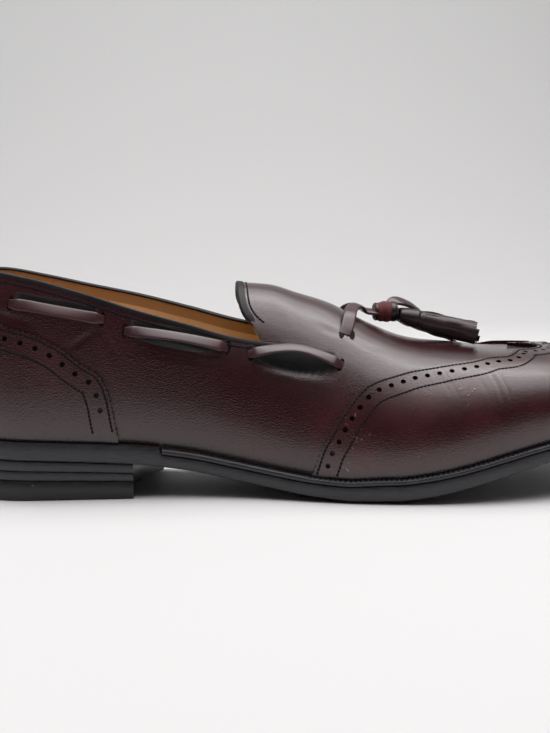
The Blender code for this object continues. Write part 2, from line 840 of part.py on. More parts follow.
def make_lace_ends():
    """The two straps that leave the vamp's slots and run forward into the knot."""
    made = []
    knot = knot_centre()
    for side, word in ((LATERAL, "lateral"), (MEDIAL, "medial")):
        low = 0.5 * LACE_CORD + REST_GAP
        route = [over_vamp(s, side * across, low + above) for s, across, above in STRAP_ROUTE]
        behind = knot - np.array((0.5 * KNOT_SIZE[0] + GAP, -side * STRAP_SPLIT, 0.0))
        route += [behind + np.array(STRAP_DIP), behind]
        curve = bpy.data.curves.new(f"lace_end_{word}", "CURVE")
        curve.dimensions = "3D"
        points = catmull(route, 12)
        spline = curve.splines.new("POLY")
        spline.points.add(len(points) - 1)
        for slot, point in zip(spline.points, points):
            slot.co = (*point, 1.0)
        curve.bevel_depth = 0.5 * LACE_CORD
        curve.bevel_resolution = 2
        curve.use_fill_caps = True
        obj = bpy.data.objects.new(f"lace_end_{word}", curve)
        bpy.context.scene.collection.objects.link(obj)
        made.append(obj)
    return made


def make_knot():
    """Rounded wrap of leather that both straps run into."""
    centre = knot_centre()
    around, lengthwise = 12, 6
    rings = []
    for i in range(lengthwise + 1):
        t = i / lengthwise
        grow = 1.0 - KNOT_TAPER * abs(2.0 * t - 1.0) ** 2.6
        ring = []
        for k in range(around):
            a = 2.0 * math.pi * k / around
            ring.append((
                centre[0] + (t - 0.5) * KNOT_SIZE[0],
                centre[1] + 0.5 * KNOT_SIZE[1] * grow * math.cos(a),
                centre[2] + 0.5 * KNOT_SIZE[2] * grow * math.sin(a),
            ))
        rings.append(ring)
    return tube("lace_knot", rings)


def make_tassel(side, word):
    """Bell of the tassel with its strips fused below, lying on the vamp."""
    neck = knot_centre() + np.array((0.5 * KNOT_SIZE[0] + GAP, side * TASSEL_SPLIT, -0.0012))
    reach, spread = TASSEL_TIPS[side]
    station = along_of(neck[0]) + TASSEL_LENGTH * reach / LENGTH
    tip = over_vamp(station, side * spread, 0.46 * TASSEL_WIDTH)
    axis = unit(tip - neck)
    across = unit(np.cross(np.array((0.0, 0.0, 1.0)), axis))
    up = np.cross(axis, across)
    count = 2 * STRIPS

    def ring_at(share, size, groove):
        ring = []
        for k in range(count):
            turn = math.pi * k / STRIPS
            radius = 0.5 * TASSEL_WIDTH * size * (1.0 - groove if k % 2 else 1.0)
            point = neck + axis * share * TASSEL_LENGTH + across * radius * math.cos(turn)
            point = point + up * TASSEL_DEPTH * radius * math.sin(turn)
            if share == 0.0:
                point[0] = neck[0]
            ring.append(rest_on_vamp(point))
        return ring

    bm = bmesh.new()
    rings = [[bm.verts.new(p) for p in ring_at(*row)] for row in TASSEL_FORM]
    core = [bm.verts.new(p) for p in ring_at(CORE_PLACE, CORE_SIZE, 0.0)]
    for low, high in zip(rings, rings[1:]):
        for i in range(count):
            j = (i + 1) % count
            bm.faces.new((low[i], low[j], high[j], high[i]))
    bm.faces.new(rings[0][::-1])
    bm.faces.new(core)
    end = rings[-1]
    for strip in range(STRIPS):
        before, middle, after = (2 * strip - 1) % count, 2 * strip, 2 * strip + 1
        run_on = axis * TASSEL_LENGTH * STRIP_ENDS[strip]
        root = [end[before], end[middle], end[after], core[after], core[middle], core[before]]
        tip_ring = [bm.verts.new(rest_on_vamp(np.array(v.co) + run_on)) for v in root]
        for i in range(6):
            j = (i + 1) % 6
            bm.faces.new((root[i], root[j], tip_ring[j], tip_ring[i]))
        bm.faces.new(tip_ring)
    return finish(f"tassel_{word}", bm)


def rest_on_vamp(point):
    """Lift a point that would lie in the vamp on to its face."""
    floor = vamp_height(point[0], point[1]) + REST_GAP
    return np.array((point[0], point[1], max(point[2], floor)))


# colour, roughness, metallic of each material
FINISHES = {
    "burgundy calf": ((0.060, 0.012, 0.014), 0.28, 0.0),
    "black edge": ((0.014, 0.013, 0.014), 0.42, 0.0),
    "sole leather": ((0.060, 0.045, 0.036), 0.55, 0.0),
    "tan lining": ((0.420, 0.230, 0.090), 0.60, 0.0),
    "dark binding": ((0.030, 0.026, 0.028), 0.50, 0.0),
}


def finish_material(obj, finish_name):
    """Give an object a material of its own."""
    colour, roughness, metallic = FINISHES[finish_name]
    material = bpy.data.materials.new(f"{finish_name} of {obj.name}")
    material.use_nodes = True
    shader = material.node_tree.nodes["Principled BSDF"]
    shader.inputs["Base Color"].default_value = (*colour, 1.0)
    shader.inputs["Roughness"].default_value = roughness
    shader.inputs["Metallic"].default_value = metallic
    obj.data.materials.append(material)


def build():
    for obj in list(bpy.data.objects):
        bpy.data.objects.remove(obj)
    burgundy = [make_upper(), make_wing_cap(), make_heel_counter(), make_knot()]
    burgundy += make_lace_runs() + make_lace_ends()
    burgundy += [make_tassel(LATERAL, "lateral"), make_tassel(MEDIAL, "medial")]
    for obj in burgundy:
        finish_material(obj, "burgundy calf")
    for obj in [make_outsole(), make_welt(), *make_heel()]:
        finish_material(obj, "black edge")
    finish_material(make_insole(), "tan lining")
    for obj in make_bindings():
        finish_material(obj, "dark binding")


build()
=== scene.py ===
"""Looks of the right tassel loafer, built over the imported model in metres."""

import math

import bmesh
import bpy
import numpy as np
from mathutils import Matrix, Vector


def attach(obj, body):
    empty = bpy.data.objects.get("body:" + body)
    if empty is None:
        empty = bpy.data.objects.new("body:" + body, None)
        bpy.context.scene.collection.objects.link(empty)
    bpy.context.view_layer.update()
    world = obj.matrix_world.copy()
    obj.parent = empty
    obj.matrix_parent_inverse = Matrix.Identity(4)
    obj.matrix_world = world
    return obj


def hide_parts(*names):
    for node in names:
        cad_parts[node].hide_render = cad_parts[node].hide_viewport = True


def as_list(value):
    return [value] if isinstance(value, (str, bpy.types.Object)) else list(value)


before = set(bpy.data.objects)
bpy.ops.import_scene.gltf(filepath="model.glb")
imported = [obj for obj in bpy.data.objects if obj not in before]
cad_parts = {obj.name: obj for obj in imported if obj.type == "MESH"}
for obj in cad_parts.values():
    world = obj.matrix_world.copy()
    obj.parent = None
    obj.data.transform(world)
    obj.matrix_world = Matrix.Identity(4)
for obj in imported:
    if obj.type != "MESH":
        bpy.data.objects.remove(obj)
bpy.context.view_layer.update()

# Sizes of the last, the sole and the upper, as in the part's source
LENGTH, BALL_WIDTH, HEEL_WIDTH = 0.305, 0.104, 0.068
HEEL_HEIGHT, TOE_SPRING, SOLE_EDGE = 0.0181, 0.0230, 0.0093
SOLE_CUP, CUP_WIDTH = 0.0012, 0.014
WELT_THICKNESS, WELT_START = 0.0024, 0.2885
INSTEP_HEIGHT, COLLAR_HEIGHT = 0.0894, 0.0955
LEDGE_HEEL, LEDGE_FORE = 0.0037, 0.0038
WALL, OVERLAY, OVERLAY_GAP = 0.0022, 0.0011, 0.00055
BULGE_HEEL, BULGE_FORE, BULGE_RISE = 0.0020, 0.0019, 0.016
GAP, REST_GAP = 0.0003, 0.0005
HEEL_END, TOE_END, END_ROUNDNESS, TOE_DRIFT = 0.11, 0.78, 2.1, 0.007
CORNER, TONGUE_TIP, TONGUE_SWEEP = 0.462, 0.398, 8
TONGUE_SHARE = 8 / 19
CENTRE_Y = -0.000104
BREAST_LATERAL, BREAST_MEDIAL, BREAST_DEPTH = 0.0760, 0.0870, 0.0065
HEEL_LINES, HEEL_INSET, HEEL_STEP = (0.51, 0.745), 0.0005, 0.0003
LACE_WIDTH, LACE_THICKNESS, MEDIAL_LACE_LIFT = 0.0052, 0.0011, 0.035
LACE_LEAN = {1: 0.45, 2: 0.70, 3: 0.80}
KNOT_STATION, KNOT_RISE, KNOT_SIZE = 0.6045, 0.0076, (0.0110, 0.0115, 0.0092)
TASSEL_LENGTH, TASSEL_WIDTH, TASSEL_SPLIT, STRAP_SPLIT = 0.037, 0.0118, 0.0034, 0.0026
TASSEL_TIPS = {-1: (0.95, 0.0105), 1: (0.86, 0.0185)}

# along, then half widths of the lateral and the medial side
OUTLINE = (
    (0.00, 0.500, 0.500), (0.12, 0.500, 0.500), (0.25, 0.485, 0.463), (0.33, 0.482, 0.410),
    (0.42, 0.462, 0.345), (0.50, 0.468, 0.340), (0.58, 0.482, 0.382), (0.65, 0.500, 0.447),
    (0.70, 0.502, 0.486), (0.75, 0.490, 0.500), (0.80, 0.466, 0.500), (0.90, 0.433, 0.481),
    (1.00, 0.404, 0.452),
)
# along, then heel, toe, edge and cup
UNDERSIDE = (
    (0.000, 1.000, 0.000, 0.840, 0.0), (0.246, 0.812, 0.000, 0.840, 0.0),
    (0.302, 0.702, 0.000, 0.842, 0.0), (0.341, 0.597, 0.000, 0.846, 0.0),
    (0.380, 0.459, 0.000, 0.852, 0.0), (0.423, 0.315, 0.000, 0.860, 0.0),
    (0.475, 0.155, 0.000, 0.875, 0.1), (0.518, 0.050, 0.000, 0.905, 0.4),
    (0.545, 0.000, 0.000, 0.935, 0.7), (0.600, 0.000, 0.000, 1.000, 1.0),
    (0.640, 0.000, 0.057, 1.000, 1.0), (0.680, 0.000, 0.161, 0.985, 1.0),
    (0.720, 0.000, 0.304, 0.960, 1.0), (0.760, 0.000, 0.452, 0.935, 1.0),
    (0.800, 0.000, 0.587, 0.915, 1.0), (0.860, 0.000, 0.739, 0.900, 1.0),
    (0.930, 0.000, 0.883, 0.890, 1.0), (1.000, 0.000, 1.000, 0.880, 1.0),
)
# along, then height, off and full
SECTIONS = (
    (0.000, 1.410, 0.000, 2.60), (0.110, 1.410, 0.000, 2.60), (0.200, 1.330, 0.000, 2.60),
    (0.270, 1.220, 0.004, 2.55), (0.330, 1.115, 0.010, 2.45), (0.398, 1.000, 0.016, 2.15),
    (0.443, 0.985, 0.022, 2.00), (0.485, 0.942, 0.028, 1.98), (0.528, 0.896, 0.034, 2.02),
    (0.590, 0.790, 0.040, 2.15), (0.636, 0.727, 0.044, 2.30), (0.666, 0.705, 0.046, 2.42),
    (0.718, 0.688, 0.046, 2.65), (0.780, 0.666, 0.044, 2.95), (1.000, 0.666, 0.044, 2.95),
)
# along, then heights of the lateral and the medial topline
TOPLINE = (
    (0.000, 1.000, 1.000), (0.050, 0.990, 0.993), (0.111, 0.955, 0.958), (0.180, 0.893, 0.911),
    (0.252, 0.818, 0.865), (0.328, 0.749, 0.806), (0.395, 0.690, 0.750), (0.462, 0.660, 0.704),
)
WING_SIDE = (
    (0.490, 0.022), (0.501, 0.168), (0.512, 0.254), (0.522, 0.341), (0.535, 0.426),
    (0.547, 0.502), (0.566, 0.594), (0.603, 0.703), (0.631, 0.771), (0.671, 0.828),
    (0.719, 0.876), (0.745, 0.916), (0.780, 0.941),
)
WING_TOP = ((0.0, 0.075), (20.0, 0.170), (40.0, 0.300), (60.0, 0.375), (90.0, 0.412))
COUNTER_EDGE = (
    (0.000, 0.800), (0.060, 0.790), (0.107, 0.738), (0.124, 0.716), (0.141, 0.690),
    (0.158, 0.658), (0.175, 0.614), (0.192, 0.576), (0.203, 0.555), (0.213, 0.510),
    (0.221, 0.430), (0.2265, 0.330), (0.2305, 0.270),
)
LACE_RUNS = (
    (0.0950, 0.853, 0.2080, 0.785, 0.0008),
    (0.2440, 0.733, 0.3740, 0.658, 0.0012),
    (0.4090, 0.630, 0.5300, 0.585, 0.0030),
)

# Creases on the lateral side: depth and half width in millimetres, then places as along, height in mm
CREASES = (
    (0.75, 1.5, ((0.262, 65.6), (0.310, 62.2), (0.362, 59.0))),
    (1.10, 2.0, ((0.425, 56.2), (0.470, 53.6), (0.515, 52.2))),
    (0.15, 0.9, ((0.664, 52.0), (0.673, 47.0), (0.680, 43.0))),
    (0.13, 0.8, ((0.673, 52.5), (0.683, 46.0), (0.690, 42.0))),
    (0.12, 0.8, ((0.655, 53.0), (0.663, 49.0), (0.668, 46.0))),
    (0.20, 0.9, ((0.736, 52.5), (0.744, 46.5), (0.748, 40.0))),
    (0.16, 0.8, ((0.748, 52.0), (0.757, 45.0), (0.760, 39.0))),
    (0.13, 0.8, ((0.715, 51.0), (0.724, 47.0), (0.728, 43.5))),
    (0.35, 1.6, ((0.055, 79.5), (0.085, 76.5), (0.118, 73.0))),
    (0.22, 0.9, ((0.060, 88.5), (0.072, 85.5), (0.080, 83.0))),
    (0.22, 0.9, ((0.072, 88.0), (0.086, 85.0), (0.096, 83.0))),
    (0.20, 0.9, ((0.086, 87.0), (0.100, 84.5), (0.112, 82.5))),
    (0.22, 0.8, ((0.100, 86.0), (0.114, 84.0), (0.128, 82.0))),
    (0.25, 1.3, ((0.215, 70.0), (0.222, 64.0), (0.224, 58.0))),
    (0.30, 1.3, ((0.205, 71.0), (0.180, 66.0), (0.165, 63.0))),
    (0.30, 1.6, ((0.255, 63.0), (0.310, 59.0), (0.370, 57.0))),
    (0.30, 1.0, ((0.452, 66.5), (0.475, 64.5), (0.500, 63.0))),
    (0.28, 0.9, ((0.446, 69.5), (0.470, 67.5), (0.494, 66.0))),
    (0.24, 0.9, ((0.440, 73.0), (0.462, 71.0), (0.485, 70.0))),
    (0.20, 0.8, ((0.436, 76.0), (0.455, 74.5), (0.470, 73.5))),
    (0.10, 0.8, ((0.412, 84.0), (0.430, 83.4), (0.446, 82.6))),
    (0.10, 0.8, ((0.414, 82.0), (0.432, 81.2), (0.452, 80.4))),
    (0.10, 0.8, ((0.418, 80.0), (0.440, 79.0), (0.460, 78.4))),
    (0.30, 1.6, ((0.500, 72.0), (0.520, 69.0), (0.545, 67.0))),
    (0.25, 1.4, ((0.545, 66.0), (0.570, 63.0), (0.595, 61.0))),
)


def curve(table, column):
    """Smooth curve through a table's column, with no overshoot between its rows."""
    rows = np.array(table, float)
    xs, ys = rows[:, 0], rows[:, column]
    steps = np.diff(ys) / np.diff(xs)
    a, b = steps[:-1], steps[1:]
    total = np.where(a + b == 0.0, 1.0, a + b)
    slopes = np.concatenate((steps[:1], np.where(a * b <= 0.0, 0.0, 2.0 * a * b / total), steps[-1:]))

    def at(x):
        x = np.clip(x, xs[0], xs[-1])
        i = np.clip(np.searchsorted(xs, x, side="right") - 1, 0, len(xs) - 2)
        span = xs[i + 1] - xs[i]
        t = (x - xs[i]) / span
        return (ys[i] * (2 * t**3 - 3 * t**2 + 1) + ys[i + 1] * (3 * t**2 - 2 * t**3)
                + span * slopes[i] * (t**3 - 2 * t**2 + t) + span * slopes[i + 1] * (t**3 - t**2))

    return at


half_lateral, half_medial = curve(OUTLINE, 1), curve(OUTLINE, 2)
under_heel, under_toe, edge_share, cup_share = (curve(UNDERSIDE, k) for k in (1, 2, 3, 4))
top_height, top_off, squareness = (curve(SECTIONS, k) for k in (1, 2, 3))
topline_lateral, topline_medial = curve(TOPLINE, 1), curve(TOPLINE, 2)
wing_rise, wing_reach, counter_height = curve(WING_SIDE, 1), curve(WING_TOP, 1), curve(COUNTER_EDGE, 1)


def mix(a, b, t):
    return a + (b - a) * t


def smooth(t):
    t = np.clip(t, 0.0, 1.0)
    return t * t * (3.0 - 2.0 * t)


def unit(v):
    return v / np.maximum(np.linalg.norm(v, axis=-1, keepdims=True), 1e-12)


def station_of(g):
    """Station of a place g round the shoe: 0 at the heel, 1 at the toe, 2 at the heel again."""
    g = np.mod(g, 2.0)
    return np.where(g < 1.0, g, 2.0 - g)


def sole_outline(g):
    g = np.mod(g, 2.0)
    side = np.where(g < 1.0, -1.0, 1.0)
    s = np.where(g < 1.0, g, 2.0 - g)
    heel_turn = 0.5 * math.pi * np.clip(s / HEEL_END, 0.0, 1.0)
    toe_turn = 0.5 * math.pi * np.clip((1.0 - s) / (1.0 - TOE_END), 0.0, 1.0)
    power = 2.0 / END_ROUNDNESS
    reach = np.maximum(np.cos(toe_turn), 0.0) ** power
    along = np.where(s < HEEL_END, HEEL_END * (1.0 - np.maximum(np.cos(heel_turn), 0.0) ** power),
                     np.where(s > TOE_END, TOE_END + (1.0 - TOE_END) * reach, s))
    close = np.where(s < HEEL_END, np.sin(heel_turn) ** power,
                     np.where(s > TOE_END, np.sin(toe_turn) ** power, 1.0))
    drift = np.where(s > TOE_END, TOE_DRIFT * reach**2, 0.0)
    width = mix(HEEL_WIDTH, BALL_WIDTH, smooth((along - 0.30) / 0.30))
    half = np.where(side < 0.0, half_lateral(along), half_medial(along)) * width
    return np.stack(((along - 0.5) * LENGTH, drift + side * half * close - CENTRE_Y), axis=-1)


def plan(g, inset):
    """Edge of the sole from above, moved inward by the inset."""
    run = unit(sole_outline(g + 0.002) - sole_outline(g - 0.002))
    inward = np.stack((-run[..., 1], run[..., 0]), axis=-1)
    return sole_outline(g) + inward * np.asarray(inset)[..., None]


def along_of(x):
    return x / LENGTH + 0.5


def underside(x):
    return under_heel(along_of(x)) * HEEL_HEIGHT + under_toe(along_of(x)) * TOE_SPRING


def rim(x):
    return underside(x) + cup_share(along_of(x)) * SOLE_CUP


def seat(x):
    return rim(x) + edge_share(along_of(x)) * SOLE_EDGE


def ridge(station):
    """Top point of the upper's section at a station."""
    along = np.clip(station, HEEL_END, TOE_END)
    return np.stack(((along - 0.5) * LENGTH, top_off(along) * BALL_WIDTH - CENTRE_Y,
                     top_height(along) * INSTEP_HEIGHT), axis=-1)


def last(g, turn):
    """Outer face of the upper. Turn goes from 0 at the feather line to 1 at the top."""
    g, turn = np.broadcast_arrays(np.asarray(g, float), np.asarray(turn, float))
    s = station_of(g)
    along = np.clip(s, HEEL_END, TOE_END)
    top = ridge(s)
    full = squareness(along)
    bulge = mix(BULGE_HEEL, BULGE_FORE, smooth((along - 0.2) / 0.3))
    foot = plan(g, mix(LEDGE_HEEL, LEDGE_FORE, smooth((s - 0.25) / 0.35)))
    foot_z = seat(foot[..., 0]) + GAP
    angle = 0.5 * math.pi * np.clip(turn, 0.0, 1.0)
    rise = np.sin(angle) ** (2.0 / full)
    reach = np.maximum(np.cos(angle), 0.0) ** (2.0 / full)
    flat = foot - top[..., :2]
    climb = rise * (top[..., 2] - foot_z) / BULGE_RISE
    swell = bulge * climb * np.exp(1.0 - climb) * np.minimum(1.0, 4.0 * reach)
    place = top[..., :2] + flat * reach[..., None] + unit(flat) * swell[..., None]
    return np.concatenate((place, mix(foot_z, top[..., 2], rise)[..., None]), axis=-1)


def outward(g, turn):
    """Unit normal of the upper's outer face."""
    g, turn = np.broadcast_arrays(np.asarray(g, float), np.asarray(turn, float))
    step = 0.003
    run = last(g + step, turn) - last(g - step, turn)
    up = last(g, np.minimum(turn + step, 1.0)) - last(g, np.maximum(turn - step, 0.0))
    normal = unit(np.cross(run, up))
    here = np.clip(station_of(g), HEEL_END + step, TOE_END - step)
    crest = ridge(here + step) - ridge(here - step)
    crest = unit(np.stack((-crest[..., 2], 0.0 * crest[..., 0], crest[..., 0]), axis=-1))
    return np.where((turn > 0.9995)[..., None], crest, normal)


def turn_at_height(g, height):
    """Turn at which a section reaches a height."""
    g, height = np.broadcast_arrays(np.asarray(g, float), np.asarray(height, float))
    low, high = np.zeros(g.shape), np.ones(g.shape)
    for _ in range(28):
        middle = 0.5 * (low + high)
        under = last(g, middle)[..., 2] < height
        low, high = np.where(under, middle, low), np.where(under, high, middle)
    return 0.5 * (low + high)


def topline_turn(g):
    g = np.asarray(g, float)
    turn = np.full(g.shape, 0.6)
    for _ in range(8):
        along = along_of(last(g, turn)[..., 0])
        height = np.where(np.mod(g, 2.0) < 1.0, topline_lateral(along), topline_medial(along))
        turn = turn_at_height(g, height * COLLAR_HEIGHT)
    return turn


def crease_lines():
    """Every crease as short segments in space, on both sides of the shoe."""
    starts, ends, sizes = [], [], []
    for side in (-1, 1):
        for depth, width, places in CREASES:
            t = np.linspace(0.0, len(places) - 1.0, 13)
            stations = np.interp(t, range(len(places)), [p[0] for p in places])
            heights = np.interp(t, range(len(places)), [p[1] for p in places]) / 1000.0
            if side > 0:
                stations, heights, depth = stations + 0.006, heights + 0.0015, depth * 0.9
            g = stations if side < 0 else 2.0 - stations
            points = last(g, turn_at_height(g, heights))
            fade = np.sin(np.linspace(0.12, math.pi - 0.12, 13))
            starts += list(points[:-1])
            ends += list(points[1:])
            sizes += [(depth * f / 1000.0, width / 1000.0) for f in 0.5 * (fade[:-1] + fade[1:])]
    return np.array(starts), np.array(ends), np.array(sizes)


CREASE_A, CREASE_B, CREASE_SIZE = crease_lines()


def relief(points):
    """Soft troughs with a ridge on each side, along the creases."""
    flat = points.reshape(-1, 3)
    out = np.zeros(len(flat))
    for first in range(0, len(CREASE_A), 12):
        a, b = CREASE_A[first : first + 12], CREASE_B[first : first + 12]
        size = CREASE_SIZE[first : first + 12]
        middle = a.mean(axis=0)
        near = np.linalg.norm(flat - middle, axis=1) < 0.035
        if not near.any():
            continue
        p = flat[near][:, None, :]
        ab = (b - a)[None]
        t = np.clip(((p - a[None]) * ab).sum(-1) / (ab**2).sum(-1), 0.0, 1.0)
        gap = np.linalg.norm(p - (a[None] + ab * t[..., None]), axis=-1)
        pick = gap.argmin(axis=1)
        gap = gap[np.arange(len(gap)), pick]
        depth, width = size[pick, 0], size[pick, 1]
        r2 = (gap / width) ** 2
        out[near] -= depth * (1.0 - 0.55 * r2) * np.exp(-0.55 * r2)
    return out.reshape(points.shape[:-1])


def skin(g, turn, out=0.0):
    """Point of the upper, at a distance from its outer face."""
    base = last(g, turn)
    lift = np.asarray(out, float) + relief(base)
    return base + outward(g, turn) * np.broadcast_to(lift, base.shape[:-1])[..., None]


def even_columns(foot_g, top_g, top_turn, levels, bottom_turn=0.0):
    """Places along each rib from foot to top, spaced evenly over the surface."""
    shares = np.linspace(0.0, 1.0, 61)
    g = mix(foot_g[:, None], top_g[:, None], shares)
    turn = mix(bottom_turn, top_turn[:, None], shares)
    fine = last(g, turn)
    run = np.cumsum(np.linalg.norm(np.diff(fine, axis=1), axis=-1), axis=1)
    run = np.concatenate((np.zeros((len(run), 1)), run), axis=1)
    picked = np.array([np.interp(np.linspace(0.0, r[-1], levels + 1), r, shares) for r in run])
    return (mix(foot_g[:, None], top_g[:, None], picked), mix(bottom_turn, top_turn[:, None], picked))


def new_object(name, mesh):
    obj = bpy.data.objects.new(name, mesh)
    bpy.context.scene.collection.objects.link(obj)
    return obj


def mesh_object(name, points, faces, values=None, angle=40.0, merge=True):
    """Mesh from points and faces, with a named number on each point, merged and shaded."""
    mesh = bpy.data.meshes.new(name)
    mesh.from_pydata(np.asarray(points).reshape(-1, 3).tolist(), [], [list(map(int, f)) for f in faces])
    for key, numbers in (values or {}).items():
        layer = mesh.attributes.new(key, "FLOAT", "POINT")
        layer.data.foreach_set("value", np.asarray(numbers, np.float32).ravel())
    bm = bmesh.new()
    bm.from_mesh(mesh)
    if merge:
        bmesh.ops.remove_doubles(bm, verts=bm.verts, dist=2e-6)
        bmesh.ops.delete(bm, geom=[e for e in bm.edges if not e.link_faces], context="EDGES")
    bmesh.ops.recalc_face_normals(bm, faces=bm.faces)
    bm.to_mesh(mesh)
    bm.free()
    mesh.shade_smooth()
    mesh.set_sharp_from_angle(angle=math.radians(angle))
    return new_object(name, mesh)


def grid_faces(rows, columns, start=0, loop=False, flip=False):
    """Quads between the points of a grid, numbered row by row."""
    count = rows if loop else rows - 1
    i, j = np.meshgrid(np.arange(count), np.arange(columns - 1), indexing="ij")
    a = start + i * columns + j
    b = start + ((i + 1) % rows) * columns + j
    quads = np.stack((a, b, b + 1, a + 1), axis=-1).reshape(-1, 4)
    return quads[:, ::-1] if flip else quads


def tube(name, rings, angle, closed=False):
    """Skin over a row of rings, with caps at its ends or closed into a loop."""
    rings = np.asarray(rings)
    count, sides = rings.shape[:2]
    faces = []
    for i in range(count if closed else count - 1):
        a, b = i * sides, (i + 1) % count * sides
        faces += [(a + k, a + (k + 1) % sides, b + (k + 1) % sides, b + k) for k in range(sides)]
    if not closed:
        faces += [tuple(range(sides))[::-1], tuple((count - 1) * sides + k for k in range(sides))]
    return mesh_object(name, rings, faces, angle=angle)


def wall(name, g, turn, outer, inner, loop=False, values=None):
    """Closed wall over a grid of places, with rims on its open edges."""
    rows, columns = g.shape
    a, b = skin(g, turn, outer), skin(g, turn, inner)
    for face in (a, b):
        face[..., 2] = np.maximum(face[..., 2], seat(face[..., 0]) + 0.5 * GAP)
    total = rows * columns
    faces = list(grid_faces(rows, columns, 0, loop))
    faces += list(grid_faces(rows, columns, total, loop, flip=True))
    count = rows if loop else rows - 1
    on_ridge = turn[:, -1] > 1.0 - 1e-6
    for i in range(count):
        j = (i + 1) % rows
        p, q = i * columns, j * columns
        faces.append((p, p + total, q + total, q))
        if not (on_ridge[i] and on_ridge[j]):
            p, q = p + columns - 1, q + columns - 1
            faces.append((p, q, q + total, p + total))
    if not loop:
        for p, flip in ((0, 1), ((rows - 1) * columns, -1)):
            for k in range(columns - 1):
                faces.append((p + k, p + k + 1, p + k + 1 + total, p + k + total)[::flip])
    doubled = {k: np.concatenate((v.ravel(), v.ravel())) for k, v in (values or {}).items()}
    return mesh_object(name, np.concatenate((a.reshape(-1, 3), b.reshape(-1, 3))), faces, doubled)


# Camera, as low and as close as the photograph's
data = bpy.data.cameras.new("camera")
data.sensor_fit = "HORIZONTAL"
data.sensor_width = 36.0
data.lens = 72.0
camera = new_object("camera", data)
camera.location = (-0.049, -0.485, 0.107)
PITCH, YAW = math.radians(6.5), math.radians(4.0)
look = Vector((math.sin(YAW) * math.cos(PITCH), math.cos(YAW) * math.cos(PITCH), -math.sin(PITCH)))
camera.rotation_euler = look.to_track_quat("-Z", "Y").to_euler()
bpy.context.scene.camera = camera


def vamp_height(x, y):
    """Height of the vamp's outer face at places seen from above."""
    station = np.clip(along_of(x), HEEL_END, TOE_END)
    side = np.where(y < ridge(station)[..., 1], -1.0, 1.0)
    g = np.where(side < 0.0, station, 2.0 - station)
    low, high = np.full(g.shape, 0.3), np.ones(g.shape)
    for _ in range(18):
        middle = 0.5 * (low + high)
        wide = side * (last(g, middle)[..., 1] - y) > 0.0
        low, high = np.where(wide, middle, low), np.where(wide, high, middle)
    return last(g, high)[..., 2]


def over_vamp(station, across, above):
    """Point off the vamp: across from the ridge, and above its face along the face's normal."""
    top = ridge(station)
    step = 0.001
    x = top[0] + np.array((0.0, step, -step, 0.0, 0.0))
    y = top[1] + across + np.array((0.0, 0.0, 0.0, step, -step))
    z = vamp_height(x, y)
    slope = np.array((z[2] - z[1], z[4] - z[3], 2.0 * step))
    return np.array((x[0], y[0], z[0])) + unit(slope) * above


def catmull(points, count):
    """Even points on a smooth curve through the given ones."""
    pts = [np.array(p, float) for p in points]
    pts = [2 * pts[0] - pts[1], *pts, 2 * pts[-1] - pts[-2]]
    fine = []
    for i in range(1, len(pts) - 2):
        a, b, c, d = pts[i - 1 : i + 3]
        for t in np.linspace(0.0, 1.0, 16, endpoint=False):
            fine.append(0.5 * (2 * b + (c - a) * t + (2 * a - 5 * b + 4 * c - d) * t**2
                               + (3 * b - a - 3 * c + d) * t**3))
    fine = np.array(fine + [pts[-2]])
    run = np.concatenate(([0.0], np.cumsum(np.linalg.norm(np.diff(fine, axis=0), axis=1))))
    at = np.linspace(0.0, run[-1], count)
    return np.stack([np.interp(at, run, fine[:, k]) for k in range(3)], axis=1)


def strip_mesh(name, path, faces_up, width, thickness, sides=12, square=3.2, angle=60.0, sizes=None):
    """Flat strip with round edges along a path. faces_up: the direction of its upper face."""
    path = np.asarray(path)
    run = unit(np.gradient(path, axis=0))
    up = np.asarray(faces_up, float) * np.ones(path.shape)
    up = unit(up - run * (up * run).sum(-1, keepdims=True))
    across = np.cross(up, run)
    a = 2.0 * math.pi * np.arange(sides) / sides
    power = 2.0 / square
    c = np.sign(np.cos(a)) * np.abs(np.cos(a)) ** power
    s = np.sign(np.sin(a)) * np.abs(np.sin(a)) ** power
    size = np.ones(len(path)) if sizes is None else np.asarray(sizes)
    rings = (path[:, None] + across[:, None] * (0.5 * width * c)[None, :, None] * size[:, None, None]
             + up[:, None] * (0.5 * thickness * s)[None, :, None] * size[:, None, None])
    return tube(name, rings, angle)


def joined(name, objects):
    """One mesh object from several."""
    bm = bmesh.new()
    for obj in objects:
        bm.from_mesh(obj.data)
        bpy.data.objects.remove(obj)
    mesh = bpy.data.meshes.new(name)
    bm.to_mesh(mesh)
    bm.free()
    mesh.shade_smooth()
    mesh.set_sharp_from_angle(angle=math.radians(55.0))
    return new_object(name, mesh)


# The two straps, the knot and the tassels come first
KNOT = over_vamp(KNOT_STATION, 0.0, KNOT_RISE)
straps = {}
for side, word in ((-1, "lateral"), (1, "medial")):
    low = 0.0021 + REST_GAP
    route = [
        over_vamp(0.543, side * 0.0262, -0.0004),
        over_vamp(0.547, side * 0.0228, 0.0012),
        over_vamp(0.550, side * 0.0172, low + 0.0006),
        over_vamp(0.555, side * 0.0106, low + 0.0010),
        over_vamp(0.564, side * 0.0054, low + 0.0022),
        KNOT + (-0.5 * KNOT_SIZE[0] - GAP - 0.0042, side * STRAP_SPLIT, 0.0008),
        KNOT + (-0.5 * KNOT_SIZE[0] - GAP, side * STRAP_SPLIT, 0.0),
        KNOT + (-0.0010, side * 0.0016, 0.0002),
    ]
    path = catmull(route, 40)
    start_up = np.array((0.1, side * 0.55, 0.8))
    end_up = np.array((0.15, side * 0.35, 1.0))
    turn_over = smooth(np.linspace(0.0, 1.0, 40) * 1.3)[:, None]
    strap = strip_mesh(f"strap_{word}", path, mix(start_up, end_up, turn_over), 0.0056, 0.0017, 16)
    straps[word] = (strap, path)


